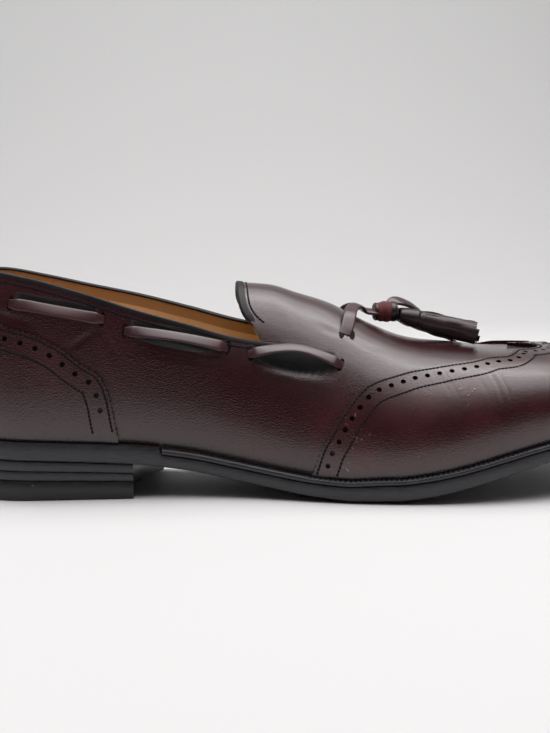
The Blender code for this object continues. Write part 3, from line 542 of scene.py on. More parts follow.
def knot_mesh():
    """Wrap of suede that the straps run into."""
    around, lengthwise = 48, 40
    t = np.linspace(0.0, 1.0, lengthwise)
    a = 2.0 * math.pi * np.arange(around) / around
    T, A = np.meshgrid(t, a, indexing="ij")
    grow = 1.0 - 0.45 * np.abs(2.0 * T - 1.0) ** 2.6
    wraps = 0.00035 * np.abs(np.sin(3.0 * math.pi * (T + 0.06 * np.sin(A)))) - 0.0002
    x = KNOT[0] + (T - 0.5) * KNOT_SIZE[0] * 0.98
    y = KNOT[1] + (0.5 * KNOT_SIZE[1] * grow + wraps) * np.cos(A)
    z = KNOT[2] + (0.5 * KNOT_SIZE[2] * grow + wraps) * np.sin(A)
    return tube("knot_core", np.stack((x, y, z), axis=-1), 60.0)


def band_round_knot(name, centre_x, lean, width):
    """Strip that goes once round the knot."""
    a = np.linspace(0.0, 2.0 * math.pi, 49)
    radius_y = 0.5 * KNOT_SIZE[1] + 0.0001
    radius_z = 0.5 * KNOT_SIZE[2] + 0.0001
    shrink = 1.0 - 0.45 * abs(2.0 * centre_x / KNOT_SIZE[0]) ** 2.6
    rings = []
    for angle in a[:-1]:
        normal = np.array((0.0, math.cos(angle), math.sin(angle)))
        middle = KNOT + (centre_x + lean * math.cos(angle), radius_y * shrink * math.cos(angle),
                         radius_z * shrink * math.sin(angle))
        ring = []
        for k in range(10):
            b = 2.0 * math.pi * k / 10
            ring.append(middle + np.array((1.0, 0, 0)) * 0.5 * width * math.cos(b)
                        + normal * 0.00055 * math.sin(b))
        rings.append(ring)
    return tube(name, rings, 60.0, closed=True)


knot_core = knot_mesh()
knot_band = joined("knot_band", [band_round_knot("a", 0.0036, 0.0007, 0.0034),
                                 band_round_knot("b", -0.0044, -0.0003, 0.0016)])


def floor_of(points, clear):
    """Lift points that would lie in the vamp on to its face."""
    points = np.array(points)
    points[:, 2] = np.maximum(points[:, 2], vamp_height(points[:, 0], points[:, 1]) + clear)
    return points


def tassel_pieces(side, word, rng):
    """Bell with wraps at its neck, and a skirt of cut strips."""
    neck = KNOT + (0.5 * KNOT_SIZE[0] + GAP, side * TASSEL_SPLIT, -0.0012)
    reach, spread = TASSEL_TIPS[side]
    station = along_of(neck[0]) + TASSEL_LENGTH * reach / LENGTH
    tip = over_vamp(station, side * spread, 0.46 * TASSEL_WIDTH)
    axis = unit(tip - neck)
    across = unit(np.cross((0.0, 0.0, 1.0), axis))
    up = np.cross(axis, across)
    profile = np.array(((0.000, 0.40), (0.020, 0.56), (0.060, 0.64), (0.110, 0.72), (0.170, 0.80),
                        (0.225, 0.83), (0.240, 0.74), (0.255, 0.70), (0.270, 0.72), (0.285, 0.78),
                        (0.300, 0.80), (0.315, 0.76), (0.330, 0.62)))
    shares = np.linspace(0.0, 0.33, 34)
    sizes = np.interp(shares, profile[:, 0], profile[:, 1])
    around = 36
    a = 2.0 * math.pi * np.arange(around) / around
    rings = []
    for share, size in zip(shares, sizes):
        radius = 0.5 * TASSEL_WIDTH * size
        rings.append(neck + axis * share * TASSEL_LENGTH + across * (radius * np.cos(a))[:, None]
                     + up * (0.88 * radius * np.sin(a))[:, None])
    points = floor_of(np.concatenate(rings), 0.0003)
    bell = tube(f"bell_{word}", points.reshape(-1, around, 3), 50.0)
    strips = []
    for layer, (count, start_size, end_size, width) in enumerate(
            ((11, 0.70, 0.90, 0.0036), (9, 0.46, 0.62, 0.0032), (6, 0.20, 0.34, 0.0026))):
        for k in range(count):
            base = 2.0 * math.pi * (k + 0.5 * layer) / count
            swing = rng.uniform(-0.22, 0.22)
            long_share = 1.0 + rng.uniform(-0.12, 0.0) - 0.01 * layer
            wave = rng.uniform(-0.0005, 0.0005)
            path, ups = [], []
            for t in np.linspace(0.0, 1.0, 12):
                angle = base + swing * t
                size = mix(start_size, end_size, t**0.8)
                radius = 0.5 * TASSEL_WIDTH * size
                share = mix(0.27, long_share, t)
                centre = neck + axis * share * TASSEL_LENGTH
                normal = across * math.cos(angle) + up * math.sin(angle)
                path.append(centre + across * radius * math.cos(angle)
                            + up * 0.88 * radius * math.sin(angle)
                            + normal * wave * math.sin(2.5 * math.pi * t))
                ups.append(normal)
            path = floor_of(path, 0.0005)
            strips.append(strip_mesh(f"s{layer}_{k}", path, np.array(ups), width, 0.0006, 8, 3.5))
    skirt = joined(f"skirt_{word}", strips)
    return bell, skirt


# Short tail of the lace that folds out over the knot
tail_path = catmull([KNOT + place for place in ((0.0022, 0.0008, 0.0034), (0.0048, 0.0016, 0.0047),
                                                (0.0088, 0.0036, 0.0040), (0.0132, 0.0060, 0.0022),
                                                (0.0172, 0.0078, 0.0000))], 26)
tail = strip_mesh("knot_tail", tail_path, np.array((0.25, -0.42, 0.87)), 0.0070, 0.0018, 16, 3.0,
                  sizes=np.interp(np.linspace(0, 1, 26), (0.0, 0.3, 0.7, 1.0), (0.75, 1.0, 0.9, 0.35)))

rng = np.random.default_rng(11)
tassels = {word: tassel_pieces(side, word, rng) for side, word in ((-1, "lateral"), (1, "medial"))}


def node(tree, kind, place=(0, 0), **values):
    made = tree.nodes.new(kind)
    made.location = place
    for key, value in values.items():
        if key in made.inputs:
            made.inputs[key].default_value = value
        else:
            setattr(made, key, value)
    return made


def wire(tree, *rows):
    """Link nodes: each row is a node, its output, the next node and its input."""
    for first, output, second, into in rows:
        tree.links.new(first.outputs[output], second.inputs[into])


def repeat_tree(name, shape):
    """Geometry Nodes: one small shape on every point, turned along it and out of its face."""
    tree = bpy.data.node_groups.new(name, "GeometryNodeTree")
    sockets = {}
    for key, kind in (("Points", "NodeSocketGeometry"), ("Long", "NodeSocketFloat"),
                      ("Wide", "NodeSocketFloat"), ("Deep", "NodeSocketFloat"),
                      ("Finish", "NodeSocketMaterial")):
        sockets[key] = tree.interface.new_socket(key, in_out="INPUT", socket_type=kind).identifier
    tree.interface.new_socket("Mesh", in_out="OUTPUT", socket_type="NodeSocketGeometry")
    group_in, group_out = node(tree, "NodeGroupInput"), node(tree, "NodeGroupOutput")
    if shape == "capsule":
        body = node(tree, "GeometryNodeMeshUVSphere", Segments=8, Rings=5, Radius=0.5)
    else:
        body = node(tree, "GeometryNodeMeshCylinder", Vertices=14, Radius=0.5, Depth=1.0)
    sizes = node(tree, "ShaderNodeCombineXYZ")
    scale = node(tree, "GeometryNodeTransform")
    along, face = (node(tree, "GeometryNodeInputNamedAttribute", data_type="FLOAT_VECTOR", Name=key)
                   for key in ("along", "face"))
    first = node(tree, "FunctionNodeAlignRotationToVector", axis="X")
    second = node(tree, "FunctionNodeAlignRotationToVector", axis="Z", pivot_axis="X")
    place = node(tree, "GeometryNodeInstanceOnPoints")
    real = node(tree, "GeometryNodeRealizeInstances")
    finish = node(tree, "GeometryNodeSetMaterial")
    for k, key in enumerate(("Long", "Wide", "Deep")):
        wire(tree, (group_in, key, sizes, k))
    wire(tree, (body, "Mesh", scale, "Geometry"), (sizes, 0, scale, "Scale"),
         (along, "Attribute", first, "Vector"), (first, 0, second, "Rotation"),
         (face, "Attribute", second, "Vector"), (group_in, "Points", place, "Points"),
         (scale, 0, place, "Instance"), (second, 0, place, "Rotation"), (place, 0, real, 0),
         (real, 0, finish, "Geometry"), (group_in, "Finish", finish, "Material"),
         (finish, 0, group_out, 0))
    return tree, sockets


TREES = {shape: repeat_tree(f"repeat_{shape}", shape) for shape in ("capsule", "cylinder")}


def repeat(name, shape, points, along, face, size, material=None, angle=50.0):
    """Plain mesh of one shape on every point."""
    mesh = bpy.data.meshes.new(name)
    mesh.from_pydata(np.asarray(points).tolist(), [], [])
    for key, vectors in (("along", along), ("face", face)):
        layer = mesh.attributes.new(key, "FLOAT_VECTOR", "POINT")
        layer.data.foreach_set("vector", np.asarray(vectors, np.float32).ravel())
    carrier = new_object(name + "_points", mesh)
    tree, sockets = TREES[shape]
    modifier = carrier.modifiers.new("repeat", "NODES")
    modifier.node_group = tree
    for key, value in zip(("Long", "Wide", "Deep"), size):
        modifier[sockets[key]] = float(value)
    if material:
        modifier[sockets["Finish"]] = material
    graph = bpy.context.evaluated_depsgraph_get()
    made = bpy.data.meshes.new_from_object(carrier.evaluated_get(graph))
    bpy.data.objects.remove(carrier)
    made.name = name
    made.shade_smooth()
    made.set_sharp_from_angle(angle=math.radians(angle))
    return new_object(name, made)


def cut(obj, cutter, angle=40.0):
    """Take one closed mesh out of another."""
    modifier = obj.modifiers.new("cut", "BOOLEAN")
    modifier.operation = "DIFFERENCE"
    modifier.solver = "MANIFOLD"
    modifier.object = cutter
    graph = bpy.context.evaluated_depsgraph_get()
    made = bpy.data.meshes.new_from_object(obj.evaluated_get(graph))
    obj.modifiers.clear()
    old = obj.data
    if len(made.polygons) > 100:
        obj.data = made
        made.name = obj.name
        bpy.data.meshes.remove(old)
        made.shade_smooth()
        made.set_sharp_from_angle(angle=math.radians(angle))
    bpy.data.objects.remove(cutter)


# Directions of the toe's rays in plan, to find a place on the toe from above
FAN_G = np.linspace(TOE_END, 2.0 - TOE_END, 1201)
FAN_RAYS = plan(FAN_G, np.full(FAN_G.shape, LEDGE_FORE)) - ridge(TOE_END)[:2]
FAN_ANGLES = np.arctan2(FAN_RAYS[:, 1], FAN_RAYS[:, 0])


def seen_from_above(x, y):
    """Place of the surface under a point seen from above, for the top of the toe."""
    middle = ridge(TOE_END)
    ahead = x > middle[0]
    s = np.minimum(along_of(x), TOE_END)
    for _ in range(4):
        top = ridge(s)
        g = np.where(y < top[..., 1], s, 2.0 - s)
        g = np.where(ahead, np.interp(np.arctan2(y - middle[1], x - middle[0]), FAN_ANGLES, FAN_G), g)
        centre = np.where(ahead[..., None], middle, top)
        reach = np.where(ahead, np.hypot(x - middle[0], y - middle[1]), np.abs(y - top[..., 1]))
        low, high = np.zeros(g.shape), np.ones(g.shape)
        for _ in range(24):
            turn = 0.5 * (low + high)
            off = last(g, turn)[..., :2] - centre[..., :2]
            wide = np.where(ahead, np.hypot(off[..., 0], off[..., 1]), np.abs(off[..., 1])) > reach
            low, high = np.where(wide, turn, low), np.where(wide, high, turn)
        s = np.where(ahead, s, np.clip(s + along_of(x) - along_of(last(g, turn)[..., 0]), 0.0, TOE_END))
    return g, turn


def slide(g, turn, direction):
    """Move places over the surface by a vector in space, in small steps.

    On top of the toe, where the stations run together, the place is found from above instead."""
    on_toe = smooth((station_of(g) - 0.70) / 0.06) * smooth((turn - 0.40) / 0.10)
    goal = last(g, turn) + direction
    toe_g, toe_turn = seen_from_above(goal[..., 0], goal[..., 1])
    steps, e = 6, 0.0008
    for _ in range(steps):
        run_g = (last(g + e, turn) - last(g - e, turn)) / (2.0 * e)
        below, above = np.maximum(turn - e, 0.0), np.minimum(turn + e, 0.9999)
        run_t = (last(g, above) - last(g, below)) / (above - below)[..., None]
        aa, bb, ab = (run_g**2).sum(-1), (run_t**2).sum(-1), (run_g * run_t).sum(-1)
        da, db = (run_g * direction).sum(-1) / steps, (run_t * direction).sum(-1) / steps
        det = np.maximum(aa * bb - ab**2, 1e-14)
        g = g + (da * bb - db * ab) / det
        turn = turn + (db * aa - da * ab) / det
        turn = np.clip(turn, -0.02, 0.9999)
    return mix(g, toe_g, on_toe), mix(turn, toe_turn, on_toe)


def offset_line(g, turn, distance):
    """Line at a distance inside an edge, over the surface. Inside is to the right of its run."""
    points = last(g, turn)
    run = unit(np.gradient(points, axis=0))
    inside = unit(np.cross(run, outward(g, turn)))
    g, turn = slide(g, turn, inside * distance)
    gaps = np.linalg.norm(last(g, turn)[:, None] - points[None], axis=-1).min(axis=1)
    keep = gaps > 0.93 * abs(distance)
    return g[keep], turn[keep]


def even_line(g, turn, pitch, start=0.0, stop=0.0):
    """Places at an even pitch along a line on the surface, with their run and normal."""
    keep = turn > 0.012
    g, turn = g[keep], turn[keep]
    points = last(g, turn)
    run = np.concatenate(([0.0], np.cumsum(np.linalg.norm(np.diff(points, axis=0), axis=1))))
    at = np.arange(start, run[-1] - stop, pitch)
    g, turn = np.interp(at, run, g), np.interp(at, run, turn)
    back, ahead = np.maximum(at - 0.0003, 0.0), np.minimum(at + 0.0003, run[-1])
    line = np.stack([np.interp(ahead, run, points[:, k]) - np.interp(back, run, points[:, k])
                     for k in range(3)], axis=1)
    return g, turn, unit(line), outward(g, turn)


def wing_turn(g):
    s = station_of(g)
    full = squareness(np.clip(s, HEEL_END, TOE_END))
    side = np.arcsin(np.clip(wing_rise(s), 0, 1) ** (full / 2.0)) / (0.5 * math.pi)
    ahead = 90.0 * (1.0 - s) / (1.0 - TOE_END)
    toe = np.arccos(np.clip(wing_reach(ahead), 0, 1) ** (full / 2.0)) / (0.5 * math.pi)
    return mix(side, toe, smooth((s - TOE_END + 0.012) / 0.031))


def even_edge(g, turn, count):
    """Places on an edge, spaced evenly in space."""
    points = last(g, turn)
    run = np.concatenate(([0.0], np.cumsum(np.linalg.norm(np.diff(points, axis=0), axis=1))))
    at = np.linspace(0.0, run[-1], count)
    return np.interp(at, run, g), np.interp(at, run, turn)


# Outer leather of the upper and the lining inside it
def upper_ribs(quarter, tongue, crest, toe):
    """Foot, top and turn of each rib round the upper, denser than the part's own."""
    quarter_g = np.linspace(0.0, CORNER, quarter, endpoint=False)
    rows = [(g, g, t) for g, t in zip(quarter_g, topline_turn(quarter_g))]
    corner = float(topline_turn(np.array([CORNER]))[0])
    far_corner = float(topline_turn(np.array([2.0 - CORNER]))[0])
    share = np.linspace(0.0, 1.0, tongue + 1)
    feet = mix(CORNER, mix(CORNER, TOE_END, TONGUE_SHARE), share)
    tops = TONGUE_TIP + (CORNER - TONGUE_TIP) * (1.0 - share) ** TONGUE_SWEEP
    near = [(f, t, mix(corner, 1.0, q)) for f, t, q in zip(feet, tops, share)]
    far = [(f, t, mix(far_corner, 1.0, q)) for f, t, q in zip(feet, tops, share)]
    share = np.linspace(0.0, 1.0, crest + 1)[1:]
    crests = [(mix(mix(CORNER, TOE_END, TONGUE_SHARE), TOE_END, q), mix(TONGUE_TIP, TOE_END, q), 1.0)
              for q in share]
    toes = [(g, g, 1.0) for g in np.linspace(TOE_END, 1.0, toe + 1)[1:]]
    lateral = rows + near + crests + toes
    medial_g = 2.0 - quarter_g[1:]
    medial = [(f, f, t) for f, t in zip(medial_g, topline_turn(medial_g))]
    medial += [(2.0 - f, 2.0 - t, q) for f, t, q in far + crests + toes[:-1]]
    order = sorted(medial, key=lambda row: row[0])
    return np.array(lateral + order)


ribs = upper_ribs(120, 44, 56, 44)
rib_g, rib_turn = even_columns(ribs[:, 0], ribs[:, 1], ribs[:, 2], 52)
rib_turn[:, -1] = ribs[:, 2]
SPLIT = 0.0012


def lace_shade(g, turn):
    """1 where painted shade goes on the upper, in the hollow under a run of lace."""
    s = station_of(g)
    height = last(g, turn)[..., 2] - np.where(np.mod(g, 2.0) < 1.0, 0.0, 1.0) * (
        MEDIAL_LACE_LIFT * smooth((s - HEEL_END) / HEEL_END)) * COLLAR_HEIGHT
    shade = np.zeros(s.shape)
    for number, deep in ((1, 0.0012), (2, 0.0030), (3, 0.0046)):
        start, z_start, end, z_end, _ = LACE_RUNS[number - 1]
        t = np.clip((s - start) / (end - start), 0.0, 1.0)
        low = mix(z_start, z_end, t) * COLLAR_HEIGHT - 0.36 * LACE_WIDTH
        foot = low - deep * np.sin(math.pi * t) ** 0.8
        between = smooth((height - foot) / 0.0016) * smooth((low + 0.0078 - height) / 0.0016)
        shade = np.maximum(shade, between * smooth(6.0 * np.sin(math.pi * t) - 0.2))
    return shade


def overlay_and_lace_shade(g, turn):
    """Mask of painted shade on the upper: 1 where the cap or the counter covers it, with a soft edge that
    darkens the notches of the pinked edges, and under the lace runs.
    """
    s = station_of(g)
    step = 0.002
    scale = np.linalg.norm(last(g, turn) - last(g, turn - step), axis=-1) / step
    over_cap = np.where(s > 0.49, smooth(((wing_turn(g) - turn) * scale - 0.0002) / 0.0008), 0.0)
    height = counter_height(s) * COLLAR_HEIGHT
    over_counter = np.where(s < 0.2305, smooth((height - last(g, turn)[..., 2] - 0.0002) / 0.0008), 0.0)
    return np.maximum(np.maximum(over_cap, over_counter), lace_shade(g, turn))


def foot_shade(g, turn):
    """1 on the band of painted shade along the feather line, where the upper tucks in above the welt, 0
    above it.
    """
    return smooth(1.0 - (last(g, turn)[..., 2] - last(g, 0.0 * turn)[..., 2]) / FOOT_SHADE_BAND)


FOOT_SHADE_BAND = 0.0036
edge_gap = np.linalg.norm(np.diff(last(rib_g, rib_turn), axis=1), axis=-1)
from_edge = np.concatenate((np.cumsum(edge_gap[:, ::-1], axis=1)[:, ::-1],
                            np.zeros((len(edge_gap), 1))), axis=1)
upper_values = {
    # Painted shade on the upper under the cap, the counter and the lace runs
    "painted_shade": overlay_and_lace_shade(rib_g, rib_turn),
    # Painted shade along the feather line
    "foot": foot_shade(rib_g, rib_turn),
    "topline": from_edge,
}
upper = wall("upper_leather", rib_g, rib_turn, 0.0, -SPLIT, loop=True, values=upper_values)
lining = wall("lining", rib_g, rib_turn, -SPLIT, -WALL, loop=True, values=upper_values)

# Slots for the lace, cut through the outer leather, and the strips that run through them
slot_points, slot_along, slot_face = [], [], []
lace_strips = {}
for side, word in ((-1, "lateral"), (1, "medial")):
    for number, (start, z_start, end, z_end, arch) in enumerate(LACE_RUNS, 1):
        lift = 0.0 if side < 0 else MEDIAL_LACE_LIFT
        over = 0.0036 / LENGTH
        stations = np.linspace(start - over, end + over, 44)
        t = (stations - start) / (end - start)
        heights = (mix(z_start, z_end, t)
                   + lift * smooth((stations - HEEL_END) / HEEL_END)) * COLLAR_HEIGHT
        bow = {1: 0.0, 2: 0.0007, 3: 0.0026}[number]
        heights = heights + bow * np.sin(math.pi * np.clip(t, 0, 1)) * (1.0 if side < 0 else 0.5)
        g = stations if side < 0 else 2.0 - stations
        turn = turn_at_height(g, heights)
        normal = outward(g, turn)
        inside = np.clip(np.minimum(t, 1.0 - t) * (end - start) * LENGTH / 0.0022, -2.0, 1.0)
        dive = np.where(inside >= 0.0, smooth(inside), 0.0) * (0.5 * LACE_THICKNESS + REST_GAP)
        dive = np.where(inside < 0.0, 0.0010 * inside, dive)
        hump = np.sin(math.pi * np.clip(t, 0, 1))
        lean = LACE_LEAN[number] * hump**0.6
        path = last(g, turn) + normal * (dive + arch * hump**1.4 + 0.3 * LACE_WIDTH * lean)[:, None]
        faces = unit(normal + lean[:, None] * np.array((0.0, 0.0, 1.0)))
        sizes = mix(0.66, 1.0, smooth(0.5 * (inside + 0.6)))
        strip = strip_mesh(f"lace_{word}_{number}", path, faces, LACE_WIDTH, LACE_THICKNESS,
                           16, 3.0, sizes=sizes)
        lace_strips[f"lace_run_{word}_{number}"] = strip
        for k, sign in ((int(np.argmin(np.abs(t))), -1.0), (int(np.argmin(np.abs(t - 1.0))), 1.0)):
            run = unit(path[min(k + 1, 43)] - path[k - 1])
            up = unit(np.cross(normal[k], run))
            slot_points.append(last(g[k], turn[k]) + run * sign * 0.0010)
            slot_along.append(up)
            slot_face.append(normal[k])
for side in (-1, 1):
    for station, across in ((0.5385, 0.0262), (0.5535, 0.0258)):
        place = over_vamp(station, side * across, 0.0)
        normal = unit(over_vamp(station, side * across, 0.01) - place)
        slot_points.append(place)
        slot_face.append(normal)
        slot_along.append(unit(np.cross(normal, np.array((1.0, 0.0, -0.25)))))
slots = repeat("slot_cuts", "cylinder", slot_points, slot_along, slot_face, (0.0064, 0.0024, 0.0019))
cut(upper, slots)
# Near-black plugs just under the slots: painted shade, seen in the slot openings
slot_shadows = repeat("slot_shadow_plugs", "capsule", np.array(slot_points) - 0.0003 * np.array(slot_face),
                     slot_along, slot_face, (0.0066, 0.0026, 0.0012))

# Cap over the toe and counter round the heel, each with a pinked edge and punched holes
FACE_OUT, FACE_IN = OVERLAY_GAP + OVERLAY, OVERLAY_GAP - 0.0004


def pinked(g, turn, pitch, depth):
    """Zigzag of an edge, moved over the surface."""
    points = last(g, turn)
    run = np.concatenate(([0.0], np.cumsum(np.linalg.norm(np.diff(points, axis=0), axis=1))))
    wave = np.abs(2.0 * (run / pitch - np.floor(run / pitch + 0.5))) * depth
    line = unit(np.gradient(points, axis=0))
    inside = unit(np.cross(line, outward(g, turn)))
    return slide(g, turn, inside * wave[:, None])


def overlay_grid(edge_g, edge_turn, levels):
    top_g, top_turn = pinked(edge_g, edge_turn, 0.0023, 0.0009)
    top_turn = np.clip(top_turn, 0.004, 0.9995)
    return even_columns(edge_g, top_g, top_turn, levels)


wing_g = np.concatenate((np.linspace(0.490, 1.0, 2400), np.linspace(1.0, 1.510, 2400)[1:]))
wing_line = even_edge(wing_g, wing_turn(wing_g), 900)
cap_g, cap_turn = overlay_grid(*wing_line, 36)
cap = wall("wing_cap_leather", cap_g, cap_turn, FACE_OUT, FACE_IN,
           values={"foot": foot_shade(cap_g, cap_turn)})

counter_g = np.concatenate((np.linspace(-0.2305, 0.0, 1400), np.linspace(0.0, 0.2305, 1400)[1:]))
counter_turn = turn_at_height(counter_g, counter_height(station_of(counter_g)) * COLLAR_HEIGHT)
counter_line = even_edge(counter_g, counter_turn, 500)
heel_g, heel_turn = overlay_grid(*counter_line, 30)
counter = wall("counter_leather", heel_g, heel_turn, FACE_OUT, FACE_IN,
               values={"foot": foot_shade(heel_g, heel_turn)})

# Punched holes along the edges, and a medallion of small ones on the toe
HOLE_ROW, HOLE_SIZE = 0.0050, 0.0022


def holes_along(line, distance, pitch, start, diameter):
    g, turn, along, face = even_line(*offset_line(*line, distance), pitch, start, start)
    points = last(g, turn) + face * (FACE_OUT - 0.0006 + relief(last(g, turn)))[:, None]
    return points, along, face, diameter


def cutters(name, rows):
    made = []
    for k, (points, along, face, diameter) in enumerate(rows):
        made.append(repeat(f"{name}_{k}", "cylinder", points, along, face, (diameter, diameter, 0.0030)))
    return joined(name, made)


def medallion():
    """Small round pattern of holes on the top of the toe."""
    spots = [(0.0, 0.0, 0.0017)]
    for count, radius, size, phase in ((6, 0.0036, 0.0011, 0.0), (8, 0.0074, 0.0016, 0.39),
                                       (16, 0.0105, 0.0010, 0.2)):
        for k in range(count):
            a = 2.0 * math.pi * k / count + phase
            spots.append((radius * math.cos(a), radius * math.sin(a), size))
    middle = np.array((mix(TOE_END, 1.0, 0.40) - 0.5) * LENGTH)
    rows = []
    for dx, dy, size in spots:
        x, y = float(middle) + dx, ridge(0.78)[1] + 0.001 + dy
        top = ridge(0.78)
        angle = math.atan2(y - top[1], x - top[0])
        best, pick = 1.0, None
        for g in np.linspace(0.80, 1.20, 161):
            foot = plan(np.array(g), np.array(LEDGE_FORE)) - top[:2]
            gap = abs(math.atan2(foot[1], foot[0]) - angle)
            if gap < best:
                best, pick = gap, (g, math.hypot(x - top[0], y - top[1]) / np.linalg.norm(foot))
        g, reach = pick
        turn = math.acos(min(reach, 1.0) ** (float(squareness(0.78)) / 2.0)) / (0.5 * math.pi)
        face = outward(g, turn)
        rows.append((last(g, turn) + face * (FACE_OUT - 0.0006), face, size))
    return rows


wing_holes = [holes_along(wing_line, HOLE_ROW, 0.0054, 0.004, HOLE_SIZE)]
toe_spots = medallion()
by_size = {}
for point, face, size in toe_spots:
    by_size.setdefault(size, []).append((point, face))
for size, rows in sorted(by_size.items()):
    points, faces = (np.array([r[k] for r in rows]) for k in (0, 1))
    wing_holes.append((points, np.cross(faces, (0.0, 1.0, 0.0)), faces, size))
counter_holes = [holes_along(counter_line, HOLE_ROW, 0.0064, 0.004, HOLE_SIZE)]
cut(cap, cutters("cap_punch", wing_holes), 35.0)
cut(counter, cutters("counter_punch", counter_holes), 35.0)


# Bindings: piping on the collar's edge, and a wider rounded binding round the tongue
def bead(name, points, normal, profile, tip, thin):
    """Closed bead along a line. Profile is (out of the leather's middle, up from its rim)."""
    up = unit(np.cross(normal, unit(np.gradient(points, axis=0))))
    middle = points - normal * 0.5 * WALL
    shape = np.array(profile)
    from_end = np.minimum(np.arange(len(points)), len(points) - 1 - np.arange(len(points)))
    taper = np.clip(from_end / tip, thin, 1.0)[:, None, None]
    rings = (middle[:, None] + normal[:, None] * shape[None, :, :1] * taper
             + up[:, None] * shape[None, :, 1:] * taper)
    return tube(name, rings, 70.0)


def bead_shape(half, foot_out, foot_in, top):
    """Rounded strip folded over a rim: down the outside, over the top and down the inside."""
    outline = [(half, -foot_out), (half + 0.00012, -0.5 * foot_out), (half, 0.2 * top)]
    for a in np.linspace(0.15, math.pi - 0.15, 9):
        outline.append((half * math.cos(a), top * (0.35 + 0.65 * math.sin(a))))
    outline += [(-half, 0.2 * top), (-half - 0.0001, -0.5 * foot_in), (-half, -foot_in)]
    outline += [(0.0, -0.0001)]
    return outline


collar_g = np.concatenate((np.linspace(-CORNER, 0.0, 240), np.linspace(0.0, CORNER, 240)[1:]))
collar_turn = topline_turn(collar_g)
collar = bead("collar_piping", last(collar_g, collar_turn), outward(collar_g, collar_turn),
              bead_shape(0.00128, 0.0012, 0.0002, 0.0010), 6, 0.15)
share = 1.0 - np.linspace(1.0, 0.0, 70) ** 1.5
near_corner = float(topline_turn(np.array([CORNER]))[0])
far_corner = float(topline_turn(np.array([2.0 - CORNER]))[0])
near_station = TONGUE_TIP + (CORNER - TONGUE_TIP) * (1.0 - share) ** TONGUE_SWEEP
near_turn = mix(near_corner, 1.0, share)
far_g, far_turn = 2.0 - near_station[::-1], mix(far_corner, 1.0, share[::-1])
tongue_points = np.concatenate((last(near_station, near_turn)[:-1], last(far_g, far_turn)))
tongue_normals = np.concatenate((outward(near_station, near_turn)[:-1], outward(far_g, far_turn)))


tongue_edge = bead("tongue_binding_strip", tongue_points, tongue_normals,
                   bead_shape(0.00132, 0.0020, 0.0016, 0.0012), 10, 0.2)

# Rows of stitches: how far inside an edge they run, their pitch and a stitch's size
STITCH_ROWS, STITCH_PITCH, STITCH_SIZE = (0.0018, 0.0098), 0.00165, (0.00190, 0.00110, 0.00070)
stitch_rows = []
for distance in STITCH_ROWS:
    for line in (wing_line, counter_line):
        g, turn, along, face = even_line(*offset_line(*line, distance), STITCH_PITCH, 0.0005)
        out = FACE_OUT + relief(last(g, turn)) - 0.00008
        stitch_rows.append((last(g, turn) + face * out[:, None], along, face))
g, turn, along, face = even_line(*offset_line(collar_g[8:-8], collar_turn[8:-8], 0.0030), 0.0016)
stitch_rows.append((last(g, turn) + face * (relief(last(g, turn)) - 0.00005)[:, None], along, face))
line_points, line_normals = tongue_points[6:-6], tongue_normals[6:-6]
run = unit(np.gradient(line_points, axis=0))
line_points = line_points - unit(np.cross(line_normals, run)) * 0.0032
length = np.concatenate(([0.0], np.cumsum(np.linalg.norm(np.diff(line_points, axis=0), axis=1))))
at = np.arange(0.0, length[-1], 0.0016)
line_points, run, face = (np.stack([np.interp(at, length, v[:, k]) for k in range(3)], axis=1)
                          for v in (line_points, unit(run), line_normals))
stitch_rows.append((line_points - unit(face) * 0.00005, unit(run), unit(face)))
all_points, all_along, all_face = (np.concatenate([r[k] for r in stitch_rows]) for k in range(3))


# Sole, welt and heel
def ring_g(heel, body, toe):
    """Places round the sole, denser at its round ends."""
    one = np.concatenate((np.linspace(0.0, HEEL_END, heel, endpoint=False),
                          np.linspace(HEEL_END, TOE_END, body, endpoint=False),
                          np.linspace(TOE_END, 1.0, toe, endpoint=False)))
    return np.concatenate((one, 2.0 - np.concatenate(([1.0], one[:0:-1]))))


def stacked(name, g, levels, angle=35.0):
    """Closed plate from rings of the sole's outline: (inset, height function of x)."""
    rings = []
    for inset, height in levels:
        xy = plan(g, np.full(g.shape, inset))
        rings.append(np.concatenate((xy, height(xy[:, 0])[:, None]), axis=1))
    count, half = len(g), len(g) // 2
    faces = []
    for r in range(len(levels) - 1):
        for i in range(count):
            j = (i + 1) % count
            faces.append((r * count + i, r * count + j, (r + 1) * count + j, (r + 1) * count + i))
    for base, flip in ((0, True), ((len(levels) - 1) * count, False)):
        for i in range(half):
            quad = list(dict.fromkeys((base + i, base + i + 1, base + (count - i - 1) % count,
                                       base + (count - i) % count)))
            faces.append(quad[::-1] if flip else quad)
    return mesh_object(name, np.concatenate(rings), faces, angle=angle)


sole_g = ring_g(36, 150, 54)


def sole_top(x):
    """Top of the outsole: under the welt in front, up to the upper behind."""
    return seat(x) - np.where(along_of(x) >= WELT_START - 0.002, WELT_THICKNESS + 0.00015, 0.0)


outsole = stacked("sole_edge_piece", sole_g, (
    (CUP_WIDTH + 0.006, underside),
    (CUP_WIDTH, underside),
    (0.0060, lambda x: rim(x) - 0.2 * (rim(x) - underside(x))),
    (0.0016, rim),
    (0.0007, lambda x: rim(x) + 0.00025),
    (0.00015, lambda x: rim(x) + 0.0009),
    (0.0, lambda x: rim(x) + 0.0018),
    (0.0, lambda x: mix(rim(x) + 0.0018, sole_top(x) - 0.0009, 0.5)),
    (0.0, lambda x: sole_top(x) - 0.0009),
    (0.0002, lambda x: sole_top(x) - 0.0003),
    (0.0008, sole_top),
    (0.0100, sole_top),
))

